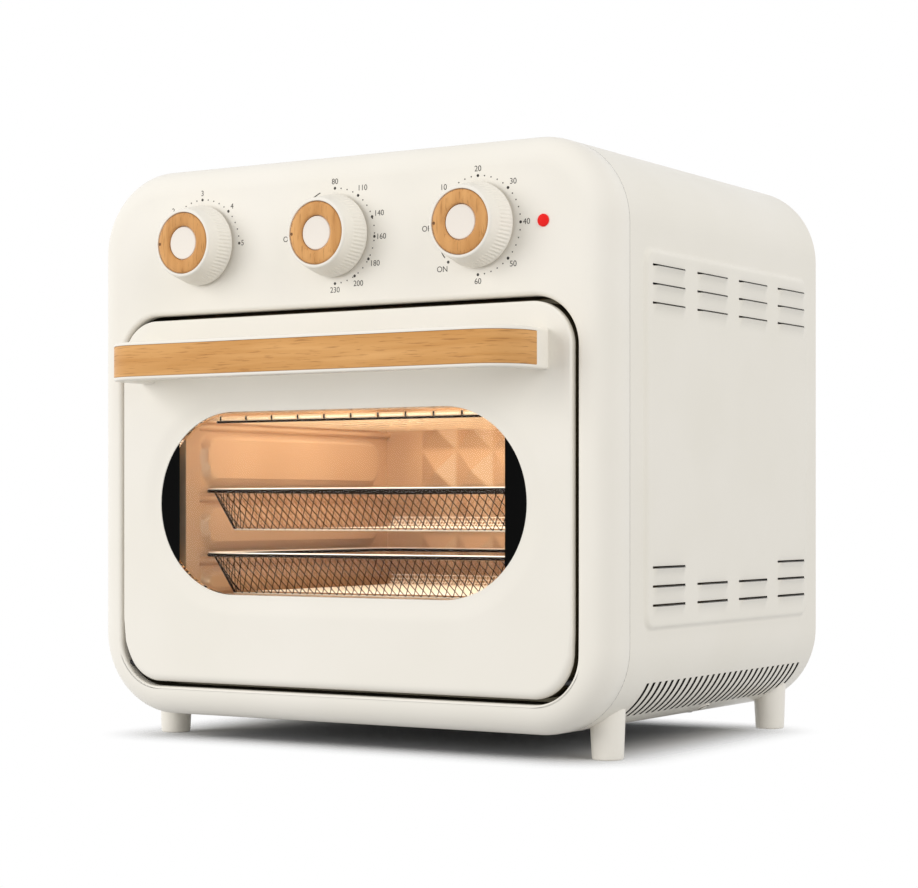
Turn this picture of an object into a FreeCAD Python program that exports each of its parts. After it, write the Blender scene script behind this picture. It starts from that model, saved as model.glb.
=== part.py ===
import FreeCAD, Part
import math
import os

# Retro countertop air fryer oven. X to the right, Y to the rear, Z up, floor at Z = 0.
# The origin is the middle of the footprint that the handle and the cord gland span.

# Casing
BODY_WIDTH = 359.0
BODY_HEIGHT = 331.8
BODY_DEPTH = 280.0
FOOT_HEIGHT = 15.0
CORNER_RADIUS = 49.5
FACE_FILLET = 16.0
BEZEL_DEPTH = 24.5
BEZEL_WALL = 2.5
SHEET = 1.0
SEAM_GAP = 0.6
REAR_FLANGE = 12.0
FIT = 0.05
BITE = 0.1
OVERRUN = 1.0

# Door and window
DOOR_MARGIN = 22.5
CONTROL_BAND = 92.2
DOOR_LIFT = 20.6
DOOR_GAP = 3.0
DOOR_RADIUS = 25.0
DOOR_SETBACK = 1.0
DOOR_DEPTH = 20.0
DOOR_WALL = 2.5
DOOR_EDGE_FILLET = 4.0
WINDOW_MARGIN = 28.5
WINDOW_HEIGHT = 109.0
WINDOW_RISE = 108.1
WINDOW_BEVEL = 8.0
WINDOW_LIP = 2.5
GLASS_THICKNESS = 4.0
GLASS_OVERLAP = 6.0
GLASS_PLAY = 0.2
LINER_PLAY = 0.1
MASK_THICKNESS = 0.5
VIEW_MARGIN = 13.0

# Door hinge
HINGE_RISE = 10.0
HINGE_INSET = 3.75
HINGE_PIN_RADIUS = 1.75
HINGE_CLEARANCE = 0.1
HINGE_BOSS = 6.0
BUSH_LENGTH = 6.0
BUSH_RADIUS = 5.5
PIN_SHORT = 2.0

# Handle
HANDLE_REACH = 43.0
HANDLE_MARGIN = 12.0
HANDLE_HEIGHT = 22.4
HANDLE_BEND = 25.0
HANDLE_THICKNESS = 12.0
HANDLE_DROP = 26.8
STRIP_HEIGHT = 18.6
STRIP_DEPTH = 2.5
STRIP_END = 25.6
HANDLE_POST_DEPTH = 12.0
HANDLE_POST_RADIUS = 6.0
HANDLE_SCREW_LENGTH = 16.0

# Knobs and controls
KNOB_MARGIN = 82.5
KNOB_DROP = 48.3
KNOB_BASE_RADIUS = 24.0
KNOB_FACE_RADIUS = 20.6
KNOB_LENGTH = 18.5
KNOB_GAP = 1.2
KNOB_RIBS = 48
KNOB_RIB_DEPTH = 0.5
KNOB_RIB_WIDTH = 1.0
KNOB_RIB_START = 2.5
KNOB_RIB_END = 11.5
KNOB_RIM = 2.0
KNOB_EASE = 1.6
KNOB_HOLLOW = 9.0
KNOB_WALL = 4.0
KNOB_HUB = 3.0
RING_OUTER_RADIUS = 18.3
RING_INNER_RADIUS = 10.0
RING_DEPTH = 3.0
RING_CROWN = 0.8
RING_EASE = 2.5
CAP_RECESS = 0.8
CAP_CHAMFER = 0.6
SHAFT_RADIUS = 3.0
SHAFT_CLEARANCE = 0.1
SHAFT_FLAT = 1.0
SHAFT_HOLE_PLAY = 1.0
LAMP_MARGIN = 40.5
LAMP_RADIUS = 3.6
LAMP_PROUD = 1.0
LAMP_LENGTH = 9.0
LAMP_CHAMFER = 0.9
LAMP_HOLDER_RADIUS = 5.0
LAMP_FLANGE = 4.0
BRACKET_SETBACK = 16.0
BRACKET_MARGIN = 18.0
BRACKET_HEIGHT = 48.0
BRACKET_CORNER = 6.0
BRACKET_SCREW_LENGTH = 6.0
POST_OFFSET = 28.0
POST_RADIUS = 4.0
POST_BORE = 8.0
CONTROL_DEPTH = 22.0
CONTROL_SIZE = 40.0
CONTROL_CORNER = 3.0
CONTROL_BUSH_WALL = 2.0
CONTROL_BUSH_LENGTH = 5.0
TIMER_EXTRA_DEPTH = 4.0
TAB_PITCH = 10.0
TAB_WIDTH = 6.0
TAB_REACH = 8.0
TAB_RISE = 6.0
TAB_THICKNESS = 0.8
SHAFT_SEAT = 10.0

# Cavity
CAVITY_MARGIN = 49.5
CAVITY_LIFT = 43.0
ROOF_SPACE = 100.8
REAR_SPACE = 30.0
LINER = 0.8
FRAME_INSET = 6.0
FRAME_RISE = 14.0
FIELD_MARGIN = 14.0
FIELD_GAP = 4.0
FIELD_LIFT = 20.0
PANEL_DEPTH = 4.0
RAIL_RADIUS = 4.0
PYRAMID_PITCH = 26.0
PYRAMID_BASE = 20.0
PYRAMID_HEIGHT = 5.0

# Baskets and rack
RIM_RADIUS = 2.5
RIM_CORNER = 18.0
SIDE_PLAY = 1.5
REST_GAP = 0.3
RACK_DROP = 50.2
LEVEL_PITCH = 39.4
LOWER_RISE = 54.0
WIRE_SIDES = 8
BASKET_DEPTH = 24.0
BASKET_TAPER = 9.0
NET_THICKNESS = 1.2
NET_COLUMNS = 9
NET_ROWS = 8
CROSS_WIRES = 12
CROSS_WIRE_RADIUS = 1.5
FRONT_PLAY = 4.0
NET_BORDER = 4.0
NET_TUCK = 0.5
NET_STEP = 1.0
NET_OPEN = 0.86
TRAY_HEIGHT = 6.0
TRAY_CORNER = 8.0
TRAY_REAR_PLAY = 2.0

# Heating and air
FAN_RADIUS = 66.0
FAN_BLADES = 8
FAN_HEIGHT = 12.0
FAN_LIFT = 15.0
FAN_HUB_RADIUS = 9.0
FAN_HUB_PROUD = 2.0
FAN_PLATE_STEP = 8.0
FAN_SHEET = 1.2
BLADE_START = 12.0
BLADE_ANGLE = 14.0
SHROUD_RADIUS = 86.0
SHROUD_HEIGHT = 38.0
SHROUD_FLANGE = 9.0
CEILING_LIP = 4.0
GUARD_SLOTS = 20
GUARD_SLOT_WIDTH = 7.0
GUARD_HUB = 22.0
GUARD_SHORT_START = 40.0
GUARD_RIM = 8.0
GUARD_OVERLAP = 2.0
HEATER_RADIUS = 3.2
HEATER_RING = 70.0
HEATER_LEG_SPREAD = 19.0
HEATER_LIFT = 6.0
HEATER_LEG_PROUD = 4.0
LOWER_HEATER_SPREAD = 90.0
LOWER_HEATER_RISE = 14.0
HEATER_END_LENGTH = 10.0
HEATER_END_WALL = 3.0
HEATER_TAIL = 2.0
MOTOR_RADIUS = 30.0
MOTOR_HEIGHT = 34.0
MOTOR_CHAMFER = 3.0
MOTOR_CORE_HEIGHT = 14.0
MOTOR_CORE_WALL = 4.0
BRIDGE_HEIGHT = 5.0
BRIDGE_DEPTH = 28.0
BRIDGE_REACH = 22.0
BRIDGE_FOOT = 14.0
BORE_PLAY = 3.0

# Side panel, louvres and corner vents, measured back from the face
PANEL_START = 40.0
PANEL_REAR = 17.0
PANEL_LIFT = 57.4
PANEL_DROP = 60.8
PANEL_RAISE = 1.2
PANEL_BEVEL = 3.5
LOUVRE_START = 48.0
LOUVRE_REAR = 6.2
LOUVRE_COLUMNS = 4
LOUVRE_ROWS = 3
LOUVRE_LENGTH = 40.5
LOUVRE_SLIT = 1.8
LOUVRE_CUT = 5.0
LOUVRE_LIP = 1.6
LOUVRE_DROP = 4.5
LOUVRE_ROW_PITCH = 10.6
UPPER_LOUVRE_INSET = 9.7
LOWER_LOUVRE_INSET = 35.5
VENT_COUNT = 28
VENT_START = 54.5
VENT_REAR = 9.9
VENT_WIDTH = 2.2
VENT_HIGH_ANGLE = 27.0
VENT_LOW_ANGLE = 52.0

# Feet, gland and screws
FOOT_BORE = 5.0
FOOT_MARGIN = 25.3
FOOT_FRONT = 45.9
FOOT_REAR_MARGIN = 15.2
FOOT_TOP_RADIUS = 9.8
FOOT_BOTTOM_RADIUS = 9.0
SOLE_CHAMFER = 1.0
SPIGOT_RADIUS = 3.0
GLAND_REACH = 12.0
GLAND_RADIUS = 8.0
CORD_RADIUS = 3.5
GLAND_LIFT = 45.0
GLAND_MARGIN = 70.0
GLAND_FLANGE = 3.0
GLAND_BARREL = 5.0
GLAND_STEP = 2.0
SCREW_HEAD_RADIUS = 3.5
SCREW_HEAD_HEIGHT = 2.0
SCREW_CROWN = 0.8
SCREW_SHANK_RADIUS = 1.5
SCREW_LENGTH = 4.0

# Base and rear covers
LIP_REACH = 6.0
BASE_LIP = 10.0
BASE_OVERLAP = 8.0
BASE_SCREW_SPREAD = 140.0
BASE_SLOT_PITCH = 22.0
BASE_SLOT_ROW = 50.0
BASE_SLOT_LENGTH = 32.0
COVER_SLOT_WIDTH = 4.0
REAR_SLOT_DROP = 120.0
REAR_SLOT_ROW = 11.0
REAR_SLOT_PITCH = 46.0
REAR_SLOT_LENGTH = 36.0
REAR_SCREW_SPREAD = 140.0
REAR_SCREW_RISE = 160.0

# Worked out from the sizes above
FACE_Y = HANDLE_REACH - (HANDLE_REACH + BODY_DEPTH + GLAND_REACH) / 2
SEAM_Y = FACE_Y + BEZEL_DEPTH
REAR_Y = FACE_Y + BODY_DEPTH
HALF = BODY_WIDTH / 2
BASE_Z = FOOT_HEIGHT
TOP_Z = FOOT_HEIGHT + BODY_HEIGHT
DOOR_Z = BASE_Z + DOOR_LIFT
DOOR_TOP_Z = TOP_Z - CONTROL_BAND
DOOR_Y = FACE_Y + DOOR_SETBACK
DOOR_HALF = HALF - DOOR_MARGIN
WINDOW_WIDTH = 2 * (DOOR_HALF - WINDOW_MARGIN)
VIEW_WIDTH = WINDOW_WIDTH - 2 * VIEW_MARGIN
HANDLE_WIDTH = 2 * (DOOR_HALF - HANDLE_MARGIN)
WINDOW_Z = DOOR_Z + WINDOW_RISE
GLASS_Y = DOOR_Y + WINDOW_LIP
MASK_Y = GLASS_Y + GLASS_THICKNESS
HINGE_Y = DOOR_Y + HINGE_INSET
HINGE_Z = DOOR_Z + HINGE_RISE
KNOB_Z = TOP_Z - KNOB_DROP
KNOB_PITCH = HALF - KNOB_MARGIN
LAMP_OFFSET = HALF - LAMP_MARGIN
KNOB_FACE_Y = FACE_Y - KNOB_GAP - KNOB_LENGTH
BRACKET_Y = FACE_Y + BRACKET_SETBACK
CONTROL_Y = BRACKET_Y + SHEET
FRAME_Y = SEAM_Y
CAVITY_Y = FRAME_Y + SHEET
CAVITY_HALF = HALF - CAVITY_MARGIN
CAVITY_FLOOR = BASE_Z + CAVITY_LIFT
CAVITY_TOP = TOP_Z - ROOF_SPACE
BACK_Y = REAR_Y - REAR_SPACE
FAN_Y = (CAVITY_Y + BACK_Y) / 2
SHROUD_Z = CAVITY_TOP + LINER
FAN_Z = SHROUD_Z + FAN_LIFT
MOTOR_Z = SHROUD_Z + SHROUD_HEIGHT + LINER
RIM_X = CAVITY_HALF - SIDE_PLAY - RIM_RADIUS
RIM_FRONT_Y = CAVITY_Y + FRONT_PLAY + RIM_RADIUS
RIM_BACK_Y = BACK_Y - PYRAMID_HEIGHT - REST_GAP - RIM_RADIUS
RACK_LEVEL = CAVITY_TOP - RACK_DROP
LOWER_LEVEL = CAVITY_FLOOR + LOWER_RISE
UPPER_LEVEL = LOWER_LEVEL + LEVEL_PITCH
PANEL_END = BODY_DEPTH - PANEL_REAR
PANEL_LOW = BASE_Z + PANEL_LIFT
PANEL_HIGH = TOP_Z - PANEL_DROP
LOUVRE_PITCH = (PANEL_END - LOUVRE_REAR - LOUVRE_LENGTH - LOUVRE_START) / (LOUVRE_COLUMNS - 1)
UPPER_LOUVRE_TOP = PANEL_HIGH - UPPER_LOUVRE_INSET
LOWER_LOUVRE_TOP = PANEL_LOW + LOWER_LOUVRE_INSET
VENT_PITCH = (BODY_DEPTH - VENT_START - VENT_REAR) / VENT_COUNT
FOOT_X = HALF - FOOT_MARGIN
FOOT_REAR = BODY_DEPTH - FOOT_REAR_MARGIN
GLAND_X = HALF - GLAND_MARGIN
GLAND_Z = BASE_Z + GLAND_LIFT

V = FreeCAD.Vector
X_AXIS = V(1, 0, 0)
Y_AXIS = V(0, 1, 0)
Z_AXIS = V(0, 0, 1)


def box(x0, x1, y0, y1, z0, z1):
    """Block between two opposite corners."""
    return Part.makeBox(x1 - x0, y1 - y0, z1 - z0, V(x0, y0, z0))


def rounded(x0, x1, y0, y1, z0, z1, radius, axis):
    """Block whose edges along one axis are rounded."""
    block = box(x0, x1, y0, y1, z0, z1)
    edges = [e for e in block.Edges if abs(e.tangentAt(e.FirstParameter).dot(axis)) > 0.9]
    return block.makeFillet(radius, edges)


def rod(start, end, radius):
    """Round bar between two points."""
    return Part.makeCylinder(radius, (end - start).Length, start, end - start)


def wire_section(centre, across, up, radius):
    """Face with a wire's many-sided section in the plane of two square directions."""
    corners = []
    for index in range(WIRE_SIDES):
        angle = 2 * math.pi * (index + 0.5) / WIRE_SIDES
        corners.append(centre + across * (radius * math.cos(angle)) + up * (radius * math.sin(angle)))
    return Part.Face(Part.makePolygon(corners + corners[:1]))


def merged(shapes):
    """One solid from overlapping pieces."""
    return shapes[0].multiFuse(shapes[1:]).removeSplitter()


def body_block(inset, y0, y1):
    """The casing's rounded cross-section, drawn in by an inset, between two depths."""
    return rounded(-HALF + inset, HALF - inset, y0, y1, BASE_Z + inset, TOP_Z - inset,
                   CORNER_RADIUS - inset, Y_AXIS)


def filleted_front(block, y, radius):
    """Block with the rim of its front face rounded."""
    rim = [e for e in block.Edges if all(abs(v.Y - y) < 1e-6 for v in e.Vertexes)]
    return block.makeFillet(radius, rim)


def door_block(grow, y0, y1):
    """The door's rounded outline, grown by an offset, between two depths."""
    return rounded(-DOOR_HALF - grow, DOOR_HALF + grow, y0, y1, DOOR_Z - grow, DOOR_TOP_Z + grow,
                   DOOR_RADIUS + grow, Y_AXIS)


def window_block(grow, y0, y1):
    """The window's stadium outline, grown by an offset, between two depths."""
    half_width = WINDOW_WIDTH / 2 + grow
    half_height = WINDOW_HEIGHT / 2 + grow
    return rounded(-half_width, half_width, y0, y1, WINDOW_Z - half_height, WINDOW_Z + half_height,
                   half_height - 0.01, Y_AXIS)


def window_wire(grow, y):
    """The window's outline as a wire at one depth."""
    face = [f for f in window_block(grow, y, y + 1).Faces if abs(f.CenterOfMass.y - y) < 1e-6]
    return face[0].OuterWire


def frustum_x(sign, x0, x1, lows, highs, bevel):
    """Raised field on a side wall: a bevelled plateau between two X planes."""
    wires = []
    for x, inset in ((x0, 0.0), (x1, bevel)):
        y0, z0 = lows[0] + inset, lows[1] + inset
        y1, z1 = highs[0] - inset, highs[1] - inset
        corners = [V(sign * x, y0, z0), V(sign * x, y1, z0), V(sign * x, y1, z1), V(sign * x, y0, z1)]
        wires.append(Part.makePolygon(corners + corners[:1]))
    return Part.makeLoft(wires, True, True)


def arc_point(angle_degrees):
    """X and Z of a point on the casing's lower corner, by its angle below the horizontal."""
    angle = math.radians(angle_degrees)
    x = HALF - CORNER_RADIUS + CORNER_RADIUS * math.cos(angle)
    z = BASE_Z + CORNER_RADIUS - CORNER_RADIUS * math.sin(angle)
    return x, z


def knob_centres():
    """X of the function, temperature and timer knobs."""
    return {"function": -KNOB_PITCH, "temperature": 0.0, "timer": KNOB_PITCH}


def bracket_posts():
    """X of the posts that carry the control bracket."""
    outer = KNOB_PITCH + POST_OFFSET
    return (-outer, -KNOB_PITCH / 2, KNOB_PITCH / 2, outer)


def bezel_hollow():
    """Space inside the bezel between its face, its side walls and the door's return wall."""
    front_y = FACE_Y + BEZEL_WALL
    space = filleted_front(body_block(BEZEL_WALL, front_y, SEAM_Y), front_y, FACE_FILLET - BEZEL_WALL)
    return space.cut(door_block(DOOR_GAP + BEZEL_WALL, FACE_Y, SEAM_Y))


def make_bezel():
    """Moulded front bezel: rounded face, door opening with a return wall, control holes, rear lip."""
    shell = filleted_front(body_block(0, FACE_Y, SEAM_Y), FACE_Y, FACE_FILLET)
    hollow = bezel_hollow()
    lip_inset = SHEET + FIT
    lip = body_block(lip_inset, SEAM_Y - BEZEL_WALL, SEAM_Y + LIP_REACH)
    lip = lip.cut(body_block(lip_inset + BEZEL_WALL, SEAM_Y - BEZEL_WALL, SEAM_Y + LIP_REACH))
    bezel = shell.cut(hollow).fuse(lip)
    posts = []
    for x in bracket_posts():
        posts.append(rod(V(x, FACE_Y + BEZEL_WALL - OVERRUN, KNOB_Z), V(x, BRACKET_Y, KNOB_Z), POST_RADIUS))
    bezel = bezel.multiFuse(posts)
    cuts = [door_block(DOOR_GAP, FACE_Y - OVERRUN, SEAM_Y + OVERRUN)]
    for x in knob_centres().values():
        cuts.append(rod(V(x, FACE_Y - OVERRUN, KNOB_Z), V(x, FACE_Y + BEZEL_WALL + OVERRUN, KNOB_Z),
                        SHAFT_RADIUS + SHAFT_HOLE_PLAY))
    cuts.append(rod(V(LAMP_OFFSET, FACE_Y - OVERRUN, KNOB_Z), V(LAMP_OFFSET, FACE_Y + BEZEL_WALL + OVERRUN, KNOB_Z),
                    LAMP_RADIUS))
    for x in bracket_posts():
        cuts.append(rod(V(x, BRACKET_Y - POST_BORE, KNOB_Z), V(x, BRACKET_Y + OVERRUN, KNOB_Z), SCREW_SHANK_RADIUS))
    reach = hinge_wall_x() + BUSH_LENGTH
    cuts.append(rod(V(-reach, HINGE_Y, HINGE_Z), V(reach, HINGE_Y, HINGE_Z),
                    HINGE_PIN_RADIUS + 4 * HINGE_CLEARANCE))
    return bezel.cut(Part.makeCompound(cuts)).removeSplitter()


def louvre_cells():
    """Depth and height of every louvre on one side."""
    cells = []
    for row in range(LOUVRE_ROWS):
        for column in range(LOUVRE_COLUMNS):
            y = FACE_Y + LOUVRE_START + column * LOUVRE_PITCH
            cells.append((y, UPPER_LOUVRE_TOP - row * LOUVRE_ROW_PITCH))
            if row > 0 or column in (0, LOUVRE_COLUMNS - 1):
                cells.append((y, LOWER_LOUVRE_TOP - row * LOUVRE_ROW_PITCH))
    return cells


def louvre_lip(sign, y, z):
    """Pressed-out lip below one louvre slit."""
    root = sign * (HALF + PANEL_RAISE - 0.2)
    tip = sign * (HALF + PANEL_RAISE + LOUVRE_LIP)
    low = z - LOUVRE_SLIT / 2 - LOUVRE_DROP
    corners = [V(root, y, z - LOUVRE_SLIT / 2), V(tip, y, z - LOUVRE_SLIT / 2), V(root, y, low)]
    section = Part.Face(Part.makePolygon(corners + corners[:1]))
    return section.extrude(V(0, LOUVRE_LENGTH, 0))


def make_wrap():
    """Casing sheet over sides and top: raised side fields, louvres, corner vents, rear flange."""
    front_y = SEAM_Y + SEAM_GAP
    wrap = body_block(0, front_y, REAR_Y).cut(body_block(SHEET, front_y, REAR_Y))
    flange = body_block(SHEET - 0.01, REAR_Y - 2 * SHEET, REAR_Y - SHEET)
    flange = flange.cut(body_block(SHEET + REAR_FLANGE, REAR_Y - 2 * SHEET, REAR_Y - SHEET))
    lows = (FACE_Y + PANEL_START, PANEL_LOW)
    highs = (FACE_Y + PANEL_END, PANEL_HIGH)
    adds = [flange]
    cuts = [box(-foot_lip_x(), foot_lip_x(), front_y - OVERRUN, REAR_Y + OVERRUN,
                BASE_Z - OVERRUN, BASE_Z + REAR_FLANGE + 2 * OVERRUN)]
    vent_x, _ = arc_point(VENT_LOW_ANGLE)
    _, vent_z = arc_point(VENT_HIGH_ANGLE)
    for point in base_screw_points():
        cuts.append(rod(point - V(0, 0, OVERRUN), point + V(0, 0, 3 * SHEET), SCREW_SHANK_RADIUS))
    for point in rear_screw_points():
        cuts.append(rod(point - V(0, 4 * SHEET, 0), point, SCREW_SHANK_RADIUS))
    for sign in (-1, 1):
        adds.append(frustum_x(sign, HALF - BITE, HALF + PANEL_RAISE, lows, highs, PANEL_BEVEL))
        adds += [louvre_lip(sign, y, z) for y, z in louvre_cells()]
        pocket_lows = (lows[0] + SHEET, lows[1] + SHEET)
        pocket_highs = (highs[0] - SHEET, highs[1] - SHEET)
        cuts.append(frustum_x(sign, HALF - SHEET - BITE, HALF + PANEL_RAISE - SHEET, pocket_lows, pocket_highs,
                              PANEL_BEVEL))
        slit_x = sorted((sign * (HALF - LOUVRE_CUT), sign * (HALF + LOUVRE_CUT)))
        for y, z in louvre_cells():
            cuts.append(box(*slit_x, y, y + LOUVRE_LENGTH, z - LOUVRE_SLIT / 2, z + LOUVRE_SLIT / 2))
        vent_xs = sorted((sign * vent_x, sign * (HALF + OVERRUN)))
        for index in range(VENT_COUNT):
            y = FACE_Y + VENT_START + index * VENT_PITCH
            cuts.append(box(*vent_xs, y, y + VENT_WIDTH, BASE_Z, vent_z))
        for y in (FOOT_FRONT, FOOT_REAR):
            start = V(sign * FOOT_X, FACE_Y + y, BASE_Z - FOOT_BORE)
            cuts.append(rod(start, start + V(0, 0, CORNER_RADIUS), SPIGOT_RADIUS + FIT))
    return wrap.multiFuse(adds).cut(Part.makeCompound(cuts)).removeSplitter()


def foot_lip_x():
    """Half width of the opening that the base panel closes."""
    return HALF - CORNER_RADIUS - BASE_LIP


def make_base_panel():
    """Flat base panel that lies on the casing's lower lips, with vent slots."""
    reach = foot_lip_x() + BASE_OVERLAP
    half_width = COVER_SLOT_WIDTH / 2
    half_length = BASE_SLOT_LENGTH / 2
    panel = box(-reach, reach, SEAM_Y + BASE_OVERLAP, REAR_Y - 2 * SHEET - FIT, BASE_Z + SHEET, BASE_Z + 2 * SHEET)
    slots = []
    for row in (-1, 0, 1):
        for column in range(-4, 5):
            x = column * BASE_SLOT_PITCH
            y = FAN_Y + row * BASE_SLOT_ROW
            slots.append(box(x - half_width, x + half_width, y - half_length, y + half_length, BASE_Z,
                             BASE_Z + 4 * SHEET))
    for point in base_screw_points():
        slots.append(rod(point, point + V(0, 0, 4 * SHEET), SCREW_SHANK_RADIUS))
    return panel.cut(Part.makeCompound(slots))


def base_screw_points():
    """Places of the screws that hold the base panel."""
    x = foot_lip_x() + BASE_OVERLAP / 2
    reach = BASE_SCREW_SPREAD / 2
    return [V(sx * x, FAN_Y + sy * reach, BASE_Z) for sx in (-1, 1) for sy in (-1, 1)]


def rear_screw_points():
    """Places of the screws that hold the rear panel."""
    x = HALF - SHEET - REAR_FLANGE / 2
    middle = (BASE_Z + TOP_Z) / 2
    top = TOP_Z - SHEET - REAR_FLANGE / 2
    rise = REAR_SCREW_RISE / 2
    spread = REAR_SCREW_SPREAD / 2
    sides = [V(sx * x, REAR_Y, middle + sz * rise) for sx in (-1, 1) for sz in (-1, 1)]
    return sides + [V(-spread, REAR_Y, top), V(spread, REAR_Y, top)]


def make_rear_panel():
    """Rear cover with vent slots, screw holes and the cord hole."""
    inset = SHEET + FIT
    panel = body_block(inset, REAR_Y - SHEET, REAR_Y)
    half_width = COVER_SLOT_WIDTH / 2
    half_length = REAR_SLOT_LENGTH / 2
    cuts = []
    for row in range(5):
        z = TOP_Z - REAR_SLOT_DROP - row * REAR_SLOT_ROW
        for column in (-2, -1, 0, 1, 2):
            x = column * REAR_SLOT_PITCH
            cuts.append(box(x - half_length, x + half_length, REAR_Y - 3 * SHEET, REAR_Y + SHEET,
                            z - half_width, z + half_width))
    cuts.append(rod(V(GLAND_X, REAR_Y - 3 * SHEET, GLAND_Z), V(GLAND_X, REAR_Y + SHEET, GLAND_Z),
                    GLAND_RADIUS - GLAND_STEP))
    for point in rear_screw_points():
        cuts.append(rod(point - V(0, 3 * SHEET, 0), point + V(0, SHEET, 0), SCREW_SHANK_RADIUS))
    return panel.cut(Part.makeCompound(cuts))


def make_screws(points, outward, length):
    """Group of pan-head screws, heads outward, shanks into the casing."""
    screws = []
    for point in points:
        crown_foot = point + outward * (SCREW_HEAD_HEIGHT - SCREW_CROWN)
        head = rod(point, crown_foot, SCREW_HEAD_RADIUS)
        crown = Part.makeCone(SCREW_HEAD_RADIUS, SCREW_HEAD_RADIUS - SCREW_CROWN, SCREW_CROWN, crown_foot, outward)
        shank = rod(point - outward * length, crown_foot, SCREW_SHANK_RADIUS - FIT)
        screws.append(merged([head, crown, shank]))
    return Part.makeCompound(screws)


def make_foot(sign_x, back):
    """Tapered foot shaped to the casing's lower corner, with a spigot through the sheet."""
    start = V(sign_x * FOOT_X, FACE_Y + back, 0)
    height = CORNER_RADIUS
    spread = (FOOT_TOP_RADIUS - FOOT_BOTTOM_RADIUS) * height / (2 * FOOT_HEIGHT)
    cone = Part.makeCone(FOOT_BOTTOM_RADIUS, FOOT_BOTTOM_RADIUS + spread, height, start)
    sole = [e for e in cone.Edges if all(abs(v.Z) < 1e-6 for v in e.Vertexes)]
    cone = cone.makeChamfer(SOLE_CHAMFER, sole)
    cone = cone.cut(body_block(-FIT, FACE_Y, REAR_Y))
    spigot = rod(start + V(0, 0, FOOT_HEIGHT / 2), start + V(0, 0, 2 * FOOT_HEIGHT), SPIGOT_RADIUS)
    return max(cone.Solids, key=lambda s: -s.CenterOfMass.z).fuse(spigot).removeSplitter()


def make_cord_gland():
    """Rubber gland that holds the cord's entry in the rear panel."""
    centre = V(GLAND_X, REAR_Y, GLAND_Z)
    shoulder = centre + V(0, GLAND_FLANGE, 0)
    inner_end = centre - V(0, GLAND_BARREL, 0)
    flange = rod(centre, shoulder, GLAND_RADIUS)
    neck = Part.makeCone(GLAND_RADIUS - GLAND_STEP, CORD_RADIUS + GLAND_STEP, GLAND_REACH - GLAND_FLANGE, shoulder,
                         Y_AXIS)
    barrel = rod(inner_end, centre, GLAND_RADIUS - GLAND_STEP - FIT)
    collar = rod(inner_end, centre - V(0, SHEET + FIT, 0), GLAND_RADIUS - GLAND_STEP / 4)
    bore = rod(inner_end, centre + V(0, GLAND_REACH, 0), CORD_RADIUS)
    return merged([flange, neck, barrel, collar]).cut(bore)


def make_front_frame():
    """Steel frame behind the door that carries the cavity's mouth."""
    outer = body_block(FRAME_INSET, FRAME_Y, CAVITY_Y)
    outer = outer.cut(box(-HALF, HALF, FRAME_Y - OVERRUN, CAVITY_Y + OVERRUN, DOOR_TOP_Z + FRAME_RISE, TOP_Z))
    mouth = box(-CAVITY_HALF, CAVITY_HALF, FRAME_Y - OVERRUN, CAVITY_Y + OVERRUN, CAVITY_FLOOR, CAVITY_TOP)
    return outer.cut(mouth)


def shelf_levels():
    """Height of the rim wire on each of the three levels."""
    return (RACK_LEVEL, UPPER_LEVEL, LOWER_LEVEL)


def rail_height(level):
    """Height of the half-round rail that carries a rim wire from below."""
    reach = RIM_RADIUS + RAIL_RADIUS + REST_GAP
    return level - math.sqrt(reach ** 2 - (CAVITY_HALF - RIM_X) ** 2)


def lower_heater_depths():
    """Depth of the two lower heating rods."""
    return (FAN_Y - LOWER_HEATER_SPREAD / 2, FAN_Y + LOWER_HEATER_SPREAD / 2)


def lower_heater_height():
    """Height of the lower heating rods."""
    return CAVITY_FLOOR + LOWER_HEATER_RISE


def make_side_wall(sign):
    """Pressed cavity wall: fields pressed outward between half-round rails."""
    xs = sorted((sign * CAVITY_HALF, sign * (CAVITY_HALF + LINER)))
    wall = box(*xs, CAVITY_Y, BACK_Y, CAVITY_FLOOR, CAVITY_TOP)
    rails = [rail_height(level) for level in shelf_levels()]
    adds = []
    cuts = []
    bounds = [CAVITY_TOP] + rails + [CAVITY_FLOOR + FIELD_LIFT]
    for high, low in zip(bounds[:-1], bounds[1:]):
        lows = (CAVITY_Y + FIELD_MARGIN, low + RAIL_RADIUS + FIELD_GAP)
        highs = (BACK_Y - FIELD_MARGIN, high - RAIL_RADIUS - FIELD_GAP)
        adds.append(frustum_x(sign, CAVITY_HALF + LINER - 0.05, CAVITY_HALF + LINER + PANEL_DEPTH,
                              lows, highs, PANEL_DEPTH))
        inner_lows = (lows[0] + LINER, lows[1] + LINER)
        inner_highs = (highs[0] - LINER, highs[1] - LINER)
        cuts.append(frustum_x(sign, CAVITY_HALF - 0.05, CAVITY_HALF + PANEL_DEPTH, inner_lows, inner_highs,
                              PANEL_DEPTH))
    for z in rails:
        half_round = rod(V(sign * CAVITY_HALF, CAVITY_Y, z), V(sign * CAVITY_HALF, BACK_Y, z), RAIL_RADIUS)
        inside = sorted((0.0, sign * (CAVITY_HALF + LINER / 2)))
        adds.append(half_round.common(box(*inside, CAVITY_Y, BACK_Y, CAVITY_FLOOR, CAVITY_TOP)))
    for y in lower_heater_depths():
        z = lower_heater_height()
        cuts.append(rod(V(sign * (CAVITY_HALF - LINER), y, z), V(sign * (CAVITY_HALF + 2 * PANEL_DEPTH), y, z),
                        HEATER_RADIUS + HEATER_END_WALL / 3))
    return wall.multiFuse(adds).cut(Part.makeCompound(cuts)).removeSplitter()


def make_cavity_floor():
    """Cavity floor sheet under the side walls."""
    reach = CAVITY_HALF + PANEL_DEPTH + 2 * LINER
    return box(-reach, reach, CAVITY_Y, BACK_Y + LINER, CAVITY_FLOOR - LINER, CAVITY_FLOOR)


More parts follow.
